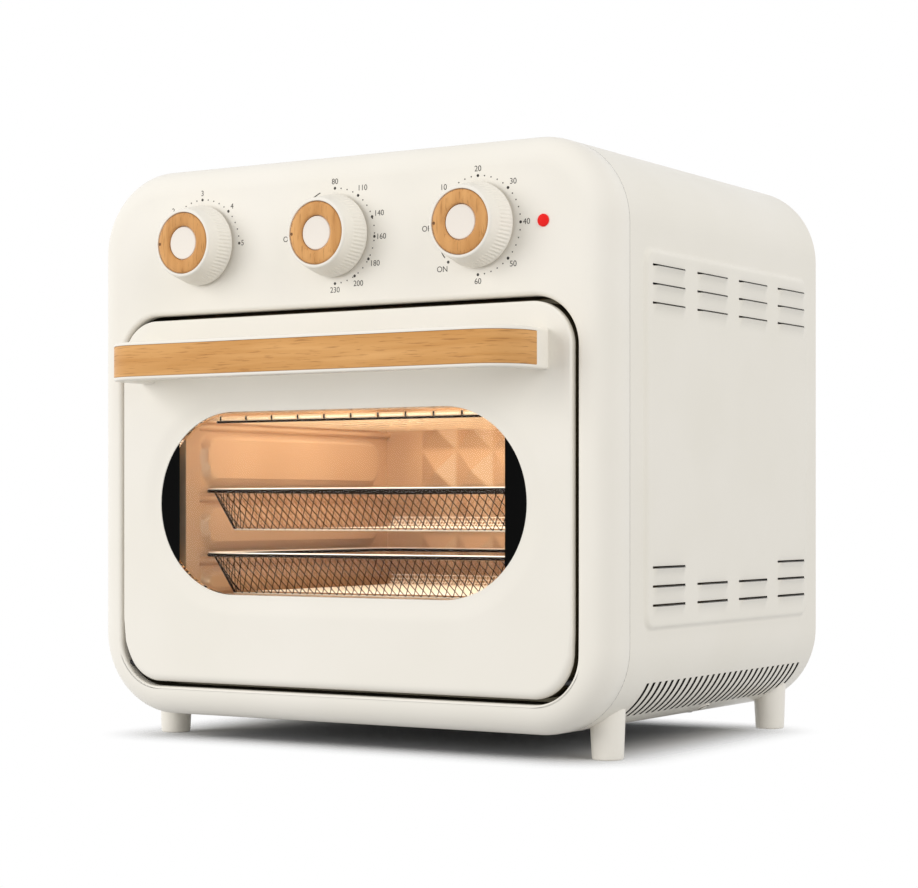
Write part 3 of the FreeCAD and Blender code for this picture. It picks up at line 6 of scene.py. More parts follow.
import bmesh
import bpy
import numpy as np
from mathutils import Euler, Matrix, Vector


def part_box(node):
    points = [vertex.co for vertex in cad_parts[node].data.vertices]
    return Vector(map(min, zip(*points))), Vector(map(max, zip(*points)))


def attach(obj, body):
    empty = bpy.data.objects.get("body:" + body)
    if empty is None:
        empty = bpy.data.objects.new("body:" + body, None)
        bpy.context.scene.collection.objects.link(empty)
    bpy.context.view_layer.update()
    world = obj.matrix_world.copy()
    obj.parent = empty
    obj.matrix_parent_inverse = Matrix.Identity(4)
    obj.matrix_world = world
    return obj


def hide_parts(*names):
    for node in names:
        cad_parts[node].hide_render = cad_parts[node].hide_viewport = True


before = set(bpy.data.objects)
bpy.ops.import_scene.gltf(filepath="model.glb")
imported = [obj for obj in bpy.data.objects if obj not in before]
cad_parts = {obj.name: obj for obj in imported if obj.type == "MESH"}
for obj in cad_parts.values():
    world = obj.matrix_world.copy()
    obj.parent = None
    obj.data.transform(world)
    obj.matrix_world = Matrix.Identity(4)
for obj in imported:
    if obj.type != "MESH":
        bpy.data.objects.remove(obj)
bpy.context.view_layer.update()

MM = 0.001
WELD = 1e-6
SLIVER = 1e-7
AXIS_RADIUS = 1e-6
GRID_DIGITS = 7
NEARLY_UPRIGHT = 0.9
SIDEWAYS = 0.5
MASK_RANGE = (0.3, 0.7)
PORE_RANGE = (0.56, 0.70)
QUARTER = math.pi / 2
LOG = logging.getLogger("air_fryer_oven")
Triple = tuple[float, float, float]
Array = np.ndarray
Piece = bpy.types.Object
Tree = bpy.types.NodeTree
Socket = bpy.types.NodeSocket


def srgb(code: str) -> tuple[float, float, float, float]:
    """Linear colour of a hex code.

    Args:
        code: six hex digits, two each for red, green and blue.

    Returns:
        Linear red, green, blue and an alpha of 1.
    """
    values = np.array([int(code[i:i + 2], 16) for i in (0, 2, 4)]) / 255.0
    linear = np.where(values <= 0.04045, values / 12.92, ((values + 0.055) / 1.055) ** 2.4)
    return (*linear.tolist(), 1.0)


def smooth_step(t: Array) -> Array:
    """Ease from 0 to 1: three t squared minus two t cubed, held outside that range."""
    held = np.clip(t, 0.0, 1.0)
    return held * held * (3.0 - 2.0 * held)


def past_box(reach_a: Array, reach_b: Array) -> Array:
    """Distance outside a box: the root of the squared distances past its edges, or the larger one inside."""
    outside = np.hypot(np.maximum(reach_a, 0), np.maximum(reach_b, 0))
    return outside + np.minimum(np.maximum(reach_a, reach_b), 0)


def stacked(*parts: Array | float) -> Array:
    """Numbers side by side along a new last axis, spread to one common shape."""
    return np.stack(np.broadcast_arrays(*parts), axis=-1)


def full_turn(sides: int) -> Array:
    """Even angles round a full turn."""
    return np.linspace(0, 2 * math.pi, sides, endpoint=False)


def mirrored(section: Array) -> Array:
    """A section's points in reverse order, with the sign of their second value turned."""
    return section[::-1] * np.array([1.0, -1.0])


def middle_of(node: str) -> Array:
    """Middle of a node's box."""
    low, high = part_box(node)
    return (np.array(low) + np.array(high)) / 2


def grid_faces(rows: int, columns: int, wrap_rows: bool, wrap_columns: bool) -> Array:
    """Quads of a grid: cell (i, j) joins points (i, j), (i + 1, j), (i + 1, j + 1) and (i, j + 1).

    Args:
        rows: number of point rows.
        columns: number of point columns.
        wrap_rows: joins the last row to the first.
        wrap_columns: joins the last column to the first.

    Returns:
        Array of cells by cells by 4 point numbers.
    """
    index = np.arange(rows * columns).reshape(rows, columns)
    if wrap_rows:
        index = np.vstack([index, index[:1]])
    if wrap_columns:
        index = np.hstack([index, index[:, :1]])
    return stacked(index[:-1, :-1], index[1:, :-1], index[1:, 1:], index[:-1, 1:])


def smoothed(mesh: bpy.types.Mesh, sharp_degrees: float) -> None:
    """Shades a mesh smooth, apart from edges that turn by more than an angle."""
    mesh.polygons.foreach_set("use_smooth", np.ones(len(mesh.polygons), dtype=bool))
    mesh.set_sharp_from_angle(angle=math.radians(sharp_degrees))


def mesh_object(name: str, points: Array, faces: Array, sharp_degrees: float = 40.0,
                weld: bool = True) -> Piece:
    """Smooth mesh object with its place in its mesh.

    Args:
        name: object's name.
        points: points, in metres.
        faces: quads or triangles as point numbers.
        sharp_degrees: edges that turn by more stay sharp.
        weld: merges points that coincide and turns faces outwards.

    Returns:
        The new object, linked to the scene.
    """
    mesh = bpy.data.meshes.new(name)
    mesh.from_pydata(points.reshape(-1, 3).tolist(), [], faces.reshape(-1, faces.shape[-1]).tolist())
    if weld:
        build = bmesh.new()
        build.from_mesh(mesh)
        bmesh.ops.remove_doubles(build, verts=build.verts, dist=WELD)
        bmesh.ops.dissolve_degenerate(build, edges=build.edges, dist=SLIVER)
        bmesh.ops.recalc_face_normals(build, faces=build.faces)
        build.to_mesh(mesh)
        build.free()
    smoothed(mesh, sharp_degrees)
    mesh.update()
    piece = bpy.data.objects.new(name, mesh)
    bpy.context.scene.collection.objects.link(piece)
    return piece


def surface(name: str, points: Array, wrap_rows: bool = False, wrap_columns: bool = False,
            keep: Array | None = None, sharp_degrees: float = 40.0) -> Piece:
    """Object from a grid of points, with cells left out where keep is false.

    Args:
        name: object's name.
        points: rows by columns by 3.
        wrap_rows: closes the grid along its rows.
        wrap_columns: closes the grid along its columns.
        keep: cells by cells, true where there is a face.
        sharp_degrees: edges that turn by more stay sharp.

    Returns:
        The new object.
    """
    faces = grid_faces(points.shape[0], points.shape[1], wrap_rows, wrap_columns)
    faces = faces[keep] if keep is not None else faces
    return mesh_object(name, points, faces, sharp_degrees)


def thickened(piece: Piece, thickness: float, sharp_degrees: float = 35.0, lined: bool = False) -> Piece:
    """Sheet given a wall behind its face, as a finished mesh.

    Args:
        piece: open sheet whose faces point outwards.
        thickness: wall in metres, laid behind the face.
        sharp_degrees: edges that turn by more stay sharp.
        lined: gives the inner side and the cut edges the piece's second material.

    Returns:
        The same object with its walled mesh.
    """
    wall = piece.modifiers.new("wall", "SOLIDIFY")
    wall.thickness = thickness
    wall.offset = -1.0
    wall.material_offset = int(lined)
    wall.material_offset_rim = int(lined)
    shaped = piece.evaluated_get(bpy.context.evaluated_depsgraph_get())
    mesh = bpy.data.meshes.new_from_object(shaped)
    piece.modifiers.clear()
    piece.data = mesh
    smoothed(mesh, sharp_degrees)
    return piece


def face_along(piece: Piece, direction: Triple) -> Piece:
    """Turns an open sheet's faces so that, taken together, they point along a direction.

    Args:
        piece: open sheet.
        direction: way its faces should point.

    Returns:
        The same piece.
    """
    mesh = piece.data
    total = sum((p.normal * p.area for p in mesh.polygons), Vector())
    if total.dot(Vector(direction)) < 0:
        mesh.flip_normals()
    return piece


def face_sides(piece: Piece) -> tuple[Array, Array]:
    """Middles and normals of a piece's faces, as two arrays of faces by 3.

    Args:
        piece: any piece.

    Returns:
        Middles, and normals.
    """
    count = len(piece.data.polygons)
    middles, normals = np.empty(count * 3), np.empty(count * 3)
    piece.data.polygons.foreach_get("center", middles)
    piece.data.polygons.foreach_get("normal", normals)
    return middles.reshape(-1, 3), normals.reshape(-1, 3)


def rounded_loft(rings: Array, corner: int = 14, side: int = 10) -> Array:
    """Closed rows in the X and Z directions, each a rectangle with round corners at one depth.

    A row's corner points are the corner centre plus radius times cosine and sine; the points between
    two corners divide the straight run evenly.

    Args:
        rings: rows of half width, low Z, high Z, corner radius and Y.
        corner: points on a quarter circle.
        side: points inside a straight run.

    Returns:
        Rings by points by 3.
    """
    half, low, high, radius, depth = (rings[:, i, None, None] for i in range(5))
    sign_x = np.array([1, -1, -1, 1])[None, :, None]
    sign_z = np.array([1, 1, -1, -1])[None, :, None]
    start = np.radians([0, 90, 180, 270])[None, :, None]
    angle = start + np.linspace(0, QUARTER, corner)[None, None, :]
    middle = (low + high) / 2
    x = sign_x * (half - radius) + radius * np.cos(angle)
    z = middle + sign_z * ((high - low) / 2 - radius) + radius * np.sin(angle)
    t = np.linspace(0, 1, side + 2)[None, None, 1:-1]
    next_x, next_z = np.roll(x, -1, axis=1)[..., :1], np.roll(z, -1, axis=1)[..., :1]
    run_x = x[..., -1:] + (next_x - x[..., -1:]) * t
    run_z = z[..., -1:] + (next_z - z[..., -1:]) * t
    x = np.concatenate([x, run_x], axis=2).reshape(len(rings), -1)
    z = np.concatenate([z, run_z], axis=2).reshape(len(rings), -1)
    return stacked(x, depth[..., 0], z)


def turned(profile: Array, centre: Triple, sides: int = 96) -> Array:
    """Surface of revolution about an axis along Y: radius times cosine and sine, set out towards the front.

    Args:
        profile: rows of radius and distance in front of the centre, or rows by sides by 2.
        centre: point on the axis.
        sides: points round the axis.

    Returns:
        Rows by sides by 3.
    """
    angle = full_turn(sides)
    grid = profile if profile.ndim == 3 else np.repeat(profile[:, None], sides, axis=1)
    radius, reach = grid[..., 0], grid[..., 1]
    x, z = centre[0] + radius * np.cos(angle), centre[2] + radius * np.sin(angle)
    return stacked(x, centre[1] - reach, z)


def tubes(paths: Array, radius: float, sides: int = 8, closed: bool = False) -> Array:
    """Round wires along paths: each path point plus radius times cosine and sine of two square directions.

    Args:
        paths: wires by points by 3.
        radius: wire radius in metres.
        sides: points round a wire.
        closed: the paths are loops.

    Returns:
        Wires by points by sides by 3.
    """
    if closed:
        tangent = np.roll(paths, -1, axis=1) - np.roll(paths, 1, axis=1)
    else:
        tangent = np.gradient(paths, axis=1)
    tangent = tangent / np.linalg.norm(tangent, axis=-1, keepdims=True)
    level = np.abs(tangent[..., 2:]) < NEARLY_UPRIGHT
    guide = np.where(level, np.array([0.0, 0.0, 1.0]), np.array([1.0, 0.0, 0.0]))
    across = np.cross(tangent, guide)
    across = across / np.linalg.norm(across, axis=-1, keepdims=True)
    upward = np.cross(across, tangent)
    angle = full_turn(sides)[None, None, :, None]
    offset = np.cos(angle) * across[:, :, None] + np.sin(angle) * upward[:, :, None]
    return paths[:, :, None] + radius * offset


def wire_object(name: str, *bundles: tuple[Array, bool]) -> Piece:
    """One mesh from bundles of round wires.

    Args:
        name: object's name.
        bundles: wires by points by sides by 3, and whether they are loops.

    Returns:
        The new object.
    """
    points, faces, count = [], [], 0
    for wires, closed in bundles:
        rows, sides = wires.shape[1:3]
        starts = count + np.arange(len(wires)) * rows * sides
        single = grid_faces(rows, sides, closed, True).reshape(1, -1, 4)
        faces.append((single + starts[:, None, None]).reshape(-1, 4))
        points.append(wires.reshape(-1, 3))
        count += len(points[-1])
    return mesh_object(name, np.vstack(points), np.vstack(faces), weld=False)


def quarter(radius: float, steps: int = 6) -> tuple[Array, Array]:
    """Quarter circle as two runs from 0 to the radius: one minus sine, and one minus cosine."""
    t = np.linspace(0, QUARTER, steps)
    return radius * (1 - np.sin(t)), radius * (1 - np.cos(t))


def round_over(radius: float, depth: float, top: float, steps: int) -> Array:
    """Quarter round of a section: depth falls by sine and height rises to its top by cosine.

    Args:
        radius: radius of the round.
        depth: first value at its outer end.
        top: second value at its upper end.
        steps: number of points.

    Returns:
        Points by 2, from the upper end to the outer end.
    """
    t = np.linspace(0, QUARTER, steps)
    return stacked(depth - radius + radius * np.sin(t), top - radius + radius * np.cos(t))


def new_node(tree: Tree, kind: str, inputs: dict[str | int, object] | None = None,
             **settings: str) -> bpy.types.Node:
    """New shader node whose inputs are linked to a socket or set to a value.

    Args:
        tree: node tree that gets the node.
        kind: node's type, without its ShaderNode prefix.
        inputs: a socket or a value for each input's name or number.
        settings: the node's own options, such as its operation.

    Returns:
        The new node.
    """
    made = tree.nodes.new("ShaderNode" + kind)
    for option, value in settings.items():
        setattr(made, option, value)
    feed(tree, made, inputs or {})
    return made


def feed(tree: Tree, target: bpy.types.Node, inputs: dict[str | int, object]) -> None:
    """Links each named input of a node to a socket, or sets it to a value.

    Args:
        tree: node tree that gets the links.
        target: node that is fed.
        inputs: a socket or a value for each input's name or number.
    """
    for key, source in inputs.items():
        if isinstance(source, Socket):
            tree.links.new(source, target.inputs[key])
        else:
            target.inputs[key].default_value = source


def calculated(tree: Tree, operation: str, *values: object, kind: str = "Math",
               output: str = "Value") -> Socket:
    """Output of a math node whose inputs are sockets or values in order."""
    return new_node(tree, kind, dict(enumerate(values)), operation=operation).outputs[output]


class Grain(Enum):
    """Kinds of surface detail that a finish can have."""

    MOULDED = "moulded"
    BRUSHED = "brushed"
    WOOD = "wood"
    RING = "ring"
    CLEAR = "clear"


class ShaderGroups:
    """Shader node groups that several finishes share, each built once."""

    def __init__(self) -> None:
        """Builds the four groups."""
        self.by_grain = {
            Grain.MOULDED: self._fine_grain("moulded_grain", (1.0, 1.0, 1.0)),
            Grain.BRUSHED: self._fine_grain("brushed_grain", (0.06, 1.0, 1.0)),
            Grain.WOOD: self._wood_grain("wood_grain", (0.055, 1.0, 1.0), True, 0.035),
            Grain.RING: self._wood_grain("ring_wood_grain", (0.8, 1.0, 0.07), False),
        }

    @staticmethod
    def _group(name: str, inputs: dict[str, float], outputs: tuple[str, ...]) -> Tree:
        """New group with named number inputs and named number outputs.

        Args:
            name: group's name.
            inputs: each input's default.
            outputs: names of the outputs.

        Returns:
            The group, still empty.
        """
        group = bpy.data.node_groups.new(name, "ShaderNodeTree")
        for label, value in inputs.items():
            socket = group.interface.new_socket(label, in_out="INPUT", socket_type="NodeSocketFloat")
            socket.default_value = value
        for label in outputs:
            group.interface.new_socket(label, in_out="OUTPUT", socket_type="NodeSocketFloat")
        return group

    def _fine_grain(self, name: str, stretch: Triple) -> Tree:
        """Fine texture and slow unevenness from two noises, stretched along one axis.

        Args:
            name: group's name.
            stretch: scale of the texture along X, Y and Z.

        Returns:
            Group with a Mask of slow unevenness and a Height of fine texture.
        """
        group = self._group(name, {"Fine": 900.0, "Slow": 14.0}, ("Mask", "Height"))
        enter, leave = group.nodes.new("NodeGroupInput"), group.nodes.new("NodeGroupOutput")
        place = new_node(group, "TexCoord").outputs["Object"]
        mapping = new_node(group, "Mapping", {"Scale": stretch, "Vector": place})
        for socket, output, detail in (("Fine", "Height", 3.0), ("Slow", "Mask", 2.0)):
            noise = new_node(group, "TexNoise", {"Detail": detail, "Vector": mapping.outputs["Vector"],
                                                 "Scale": enter.outputs[socket]})
            group.links.new(noise.outputs["Fac"], leave.inputs[output])
        return group

    def _wood_grain(self, name: str, stretch: Triple, follows: bool, lean: float = 0.0) -> Tree:
        """Straight wood grain: broad growth bands, fine fibres and short dark pores.

        Args:
            name: group's name.
            stretch: scale of the grain along X, Y and Z, smallest along the fibres.
            follows: reads the piece's own grain attribute instead of its Object coordinates.
            lean: turn of the fibres about Y in radians.

        Returns:
            Group with a Band mask, a Pore mask and a Height.
        """
        group = self._group(name, {"Band": 130.0, "Fibre": 1100.0}, ("Band", "Pore", "Height"))
        enter, leave = group.nodes.new("NodeGroupInput"), group.nodes.new("NodeGroupOutput")
        if follows:
            place = new_node(group, "Attribute", attribute_name="grain").outputs["Vector"]
        else:
            place = new_node(group, "TexCoord").outputs["Object"]
        mapping = new_node(group, "Mapping", {"Scale": stretch, "Rotation": (0.0, lean, 0.0),
                                              "Vector": place})
        fibres = {"Detail": 3.0, "Distortion": 0.4, "Vector": mapping.outputs["Vector"]}
        band, fibre = (new_node(group, "TexNoise", fibres | {"Scale": enter.outputs[kind]}).outputs["Fac"]
                       for kind in ("Band", "Fibre"))
        pore = new_node(group, "MapRange", {"From Min": PORE_RANGE[0], "From Max": PORE_RANGE[1],
                                            "Value": fibre})
        feed(group, leave, {"Band": band, "Pore": pore.outputs["Result"], "Height": fibre})
        return group


@dataclass(frozen=True)
class Finish:
    """One surface finish, from which a material is built."""

    name: str
    colour: str
    second: str
    grain: Grain = Grain.MOULDED
    roughness: float = 0.4
    specular: float = 0.5
    spread: float = 0.08
    metallic: float = 0.0
    coat: float = 0.0
    bump: float = 0.02
    fine: float = 900.0
    slow: float = 14.0
    glow: float = 0.0
    ior: float = 1.5
    pore: str = "8A5626"
    pore_share: float = 0.55

    def build(self, groups: ShaderGroups) -> bpy.types.Material:
        """Makes the material.

        Args:
            groups: shared shader groups.

        Returns:
            A node material with a Principled shader.
        """
        material = bpy.data.materials.new(self.name)
        material.use_nodes = True
        tree = material.node_tree
        shader = tree.nodes["Principled BSDF"]
        feed(tree, shader, {"Metallic": self.metallic, "Coat Weight": self.coat,
                            "Specular IOR Level": self.specular})
        if self.grain is Grain.CLEAR:
            feed(tree, shader, {"Base Color": srgb(self.colour), "Roughness": self.roughness,
                                "Transmission Weight": 1.0, "IOR": self.ior})
            return material
        group = new_node(tree, "Group", node_tree=groups.by_grain[self.grain])
        if self.grain in (Grain.WOOD, Grain.RING):
            gloss, colour = group.outputs["Height"], self._wood(tree, group)
        else:
            gloss, colour = group.outputs["Mask"], self._plain(tree, group)
        rough = self._range(tree, gloss, self.roughness - self.spread / 2, self.roughness + self.spread / 2)
        relief = new_node(tree, "Bump", {"Strength": 1.0, "Distance": self.bump * MM,
                                         "Height": group.outputs["Height"]})
        feed(tree, shader, {"Base Color": colour, "Roughness": rough, "Normal": relief.outputs["Normal"]})
        # Glow: the power lamp lens's own light, and painted glow on the rack and net wires.
        if self.glow > 0:
            feed(tree, shader, {"Emission Color": srgb(self.colour), "Emission Strength": self.glow})
        return material

    @staticmethod
    def mix(tree: Tree, factor: Socket, first: object, second: str) -> Socket:
        """Colour mix of two colours, or of a linked colour and a colour.

        Args:
            tree: node tree that gets the node.
            factor: mask that drives the mix.
            first: hex code or a colour socket.
            second: hex code.

        Returns:
            The mixed colour's socket.
        """
        first = srgb(first) if isinstance(first, str) else first
        mix = new_node(tree, "Mix", {"Factor": factor, "A": first, "B": srgb(second)}, data_type="RGBA")
        return mix.outputs["Result"]

    @staticmethod
    def _range(tree: Tree, value: Socket, low: float, high: float) -> Socket:
        """Value spread from its middle band to a low and a high number.

        Args:
            tree: node tree that gets the node.
            value: value to spread.
            low: result at the band's start.
            high: result at its end.

        Returns:
            The result's socket.
        """
        spread = new_node(tree, "MapRange", {"From Min": MASK_RANGE[0], "From Max": MASK_RANGE[1],
                                             "To Min": low, "To Max": high, "Value": value})
        return spread.outputs["Result"]

    def _plain(self, tree: Tree, group: bpy.types.Node) -> Socket:
        """Colour of a moulded or brushed finish, with slow unevenness between its two colours.

        Args:
            tree: material's node tree.
            group: its grain.

        Returns:
            The colour's socket.
        """
        feed(tree, group, {"Fine": self.fine, "Slow": self.slow})
        mask = self._range(tree, group.outputs["Mask"], 0.0, 1.0)
        return self.mix(tree, mask, self.colour, self.second)

    def _wood(self, tree: Tree, group: bpy.types.Node) -> Socket:
        """Colour of oiled wood: growth bands between two colours, and darker pores.

        Args:
            tree: material's node tree.
            group: its grain.

        Returns:
            The colour's socket.
        """
        band = self._range(tree, group.outputs["Band"], 0.0, 1.0)
        pore = calculated(tree, "MULTIPLY", group.outputs["Pore"], self.pore_share)
        base = self.mix(tree, band, self.colour, self.second)
        return self.mix(tree, pore, base, self.pore)


class Finishes:
    """All finishes of the oven by name, built on first use."""

    CREAM = Finish("cream_plastic", "F1ECE2", "EEE9DE", roughness=0.38, spread=0.06, coat=0.12, bump=0.012)
    ENAMEL = Finish("cream_enamel", "EDE8DD", "EAE5D9", roughness=0.36, spread=0.06, coat=0.15, fine=520.0)
    WOOD = Finish("oiled_wood", "E0A968", "C68C49", Grain.WOOD, roughness=0.46, spread=0.14, bump=0.04)
    RING_WOOD = Finish("turned_wood", "E0A868", "C2884A", Grain.RING, roughness=0.46, spread=0.14, bump=0.04)
    GLASS = Finish("window_glass", "FFFFFF", "FFFFFF", Grain.CLEAR, roughness=0.0, ior=1.14)
    BLACK = Finish("black_print", "030303", "050505", roughness=0.5, specular=0.04, bump=0.0)
    CAP = Finish("cap_plastic", "F1EAE0", "EEE6DC", roughness=0.42, spread=0.06, bump=0.012)
    LINER = Finish("warm_liner_steel", "D6B896", "CBAA86", Grain.BRUSHED, roughness=0.36, spread=0.12,
                   metallic=0.45, bump=0.01)
    # Painted light: a pale rack wire with a faint painted glow, for light on the rack's bars.
    RACK = Finish("rack_wire_painted_glow", "F2DDBE", "E6CFAC", roughness=0.3, metallic=0.4, bump=0.0, glow=0.08)
    # Painted shade: a near-black copy of the wire steel for the basket rims, the front nets, and the rack's
    # ties and under wire.
    SHADE_WIRE = Finish("painted_shade_wire", "1C130C", "150E08", roughness=0.6, specular=0.05, bump=0.0)
    # Painted light: the rear nets wear a half-lit amber copy of the wire steel, and the floor nets and rim
    # highlight wires a near-white copy with a faint painted glow.
    REAR_NET = Finish("amber_net_wire", "B98F66", "AA825A", roughness=0.4, metallic=0.5, bump=0.005)
    NET = Finish("net_wire_painted_glow", "FBF3E4", "F4E8D6", roughness=0.4, metallic=0.2, bump=0.0, glow=0.1)
    ZINC = Finish("zinc_steel", "B9BABA", "A9ABAC", Grain.BRUSHED, roughness=0.42, metallic=0.9)
    STEEL = Finish("plain_steel", "C4C4C2", "B4B4B2", Grain.BRUSHED, roughness=0.32, metallic=1.0, bump=0.01)
    HEATER = Finish("heater_steel", "6A5A4E", "54473D", Grain.BRUSHED, roughness=0.5, metallic=0.8)
    CERAMIC = Finish("white_ceramic", "EDE9E0", "E4DFD4", roughness=0.5)
    ALUMINIUM = Finish("fan_aluminium", "D2D3D4", "C6C7C9", Grain.BRUSHED, roughness=0.38, metallic=1.0)
    IRON = Finish("motor_iron", "3A3A3C", "2E2E30", roughness=0.5, metallic=0.6)
    CONTROL = Finish("control_plastic", "D8D5CC", "CFCBC1", roughness=0.5)
    RED = Finish("red_lens", "DC1410", "D2100C", specular=0.3, bump=0.0, glow=0.22)
    RUBBER = Finish("black_rubber", "1A1A1A", "222222", roughness=0.7, bump=0.03)
    PRINT = Finish("dial_print", "3A3733", "44413C", roughness=0.5, bump=0.0)
    POINTER = Finish("burnt_mark", "7A5430", "6B4828", roughness=0.6, bump=0.0)
    # Painted shade: a dark olive for surfaces deep in the door's gaps and in the screw grooves, where only
    # shade falls.
    GAP_SHADE = Finish("painted_gap_shade", "4A4231", "423B2B", roughness=0.6, specular=0.1)
    # Painted shade: near black for the casing sheet's inner side and the cut edges of its slits and vents.
    INNER_SHADE = Finish("painted_inner_shade", "17150F", "1E1B15", roughness=0.45, metallic=0.3)

    def __init__(self) -> None:
        """Starts with no material built."""
        self.groups = ShaderGroups()
        self._made: dict[str, bpy.types.Material] = {}

    def material(self, finish: Finish) -> bpy.types.Material:
        """Material of a finish, built once.

        Args:
            finish: any finish.

        Returns:
            Its material.
        """
        if finish.name not in self._made:
            self._made[finish.name] = finish.build(self.groups)
        return self._made[finish.name]


@dataclass(frozen=True)
class Layout:
    """Places and sizes read from the frame's nodes, in metres."""

    face_y: float
    seam_y: float
    rear_y: float
    half: float
    base_z: float
    top_z: float
    corner: float = 49.5 * MM
    door_corner: float = 25 * MM
    seam_gap: float = 0.6 * MM

    @classmethod
    def read(cls) -> "Layout":
        """Reads the casing's places from its nodes.

        Returns:
            The layout.
        """
        bezel_low, bezel_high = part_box("front_bezel")
        wrap_low, wrap_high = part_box("casing_wrap")
        return cls(face_y=bezel_low[1], seam_y=wrap_low[1] - cls.seam_gap, rear_y=wrap_high[1],
                   half=bezel_high[0], base_z=bezel_low[2], top_z=bezel_high[2])


@dataclass
class Assembly:
    """A group of pieces that share a layout and the finishes."""

    layout: Layout
    finishes: Finishes

    def dress(self, piece: Piece, finish: Finish, body: str, slot: str, *nodes: str) -> Piece:
        """Gives a piece its finish and its body, and hides the nodes that it stands for.

        Args:
            piece: new piece.
            finish: its finish, unless it has its finishes already.
            body: body that it rides on.
            slot: the record's material slot; not used.
            nodes: nodes that it replaces.

        Returns:
            The same piece.
        """
        if not piece.data.materials:
            piece.data.materials.append(self.finishes.material(finish))
        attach(piece, body)
        if nodes:
            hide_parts(*nodes)
        LOG.info("%s rides on %s with %s", piece.name, body, finish.name)
        return piece

    def coat(self, piece: Piece, *finishes: Finish, index: Array | None = None) -> Piece:
        """Gives a piece several finishes.

        Args:
            piece: new piece.
            finishes: its finishes in order.
            index: number of the finish for each face, or nothing for the first one everywhere.

        Returns:
            The same piece.
        """
        for finish in finishes:
            piece.data.materials.append(self.finishes.material(finish))
        if index is not None:
            piece.data.polygons.foreach_set("material_index", index.astype(np.int32))
        return piece

    def paint(self, finish: Finish, *nodes: str) -> None:
        """Gives nodes that stay as they are a finish."""
        for name in nodes:
            self.repaint(name, self.finishes.material(finish))

    @staticmethod
    def repaint(name: str, material: bpy.types.Material) -> None:
        """Gives a node that stays as it is one material.

        Args:
            name: node's name.
            material: its material.
        """
        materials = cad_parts[name].data.materials
        materials.clear()
        materials.append(material)
        LOG.info("%s painted with %s", name, material.name)


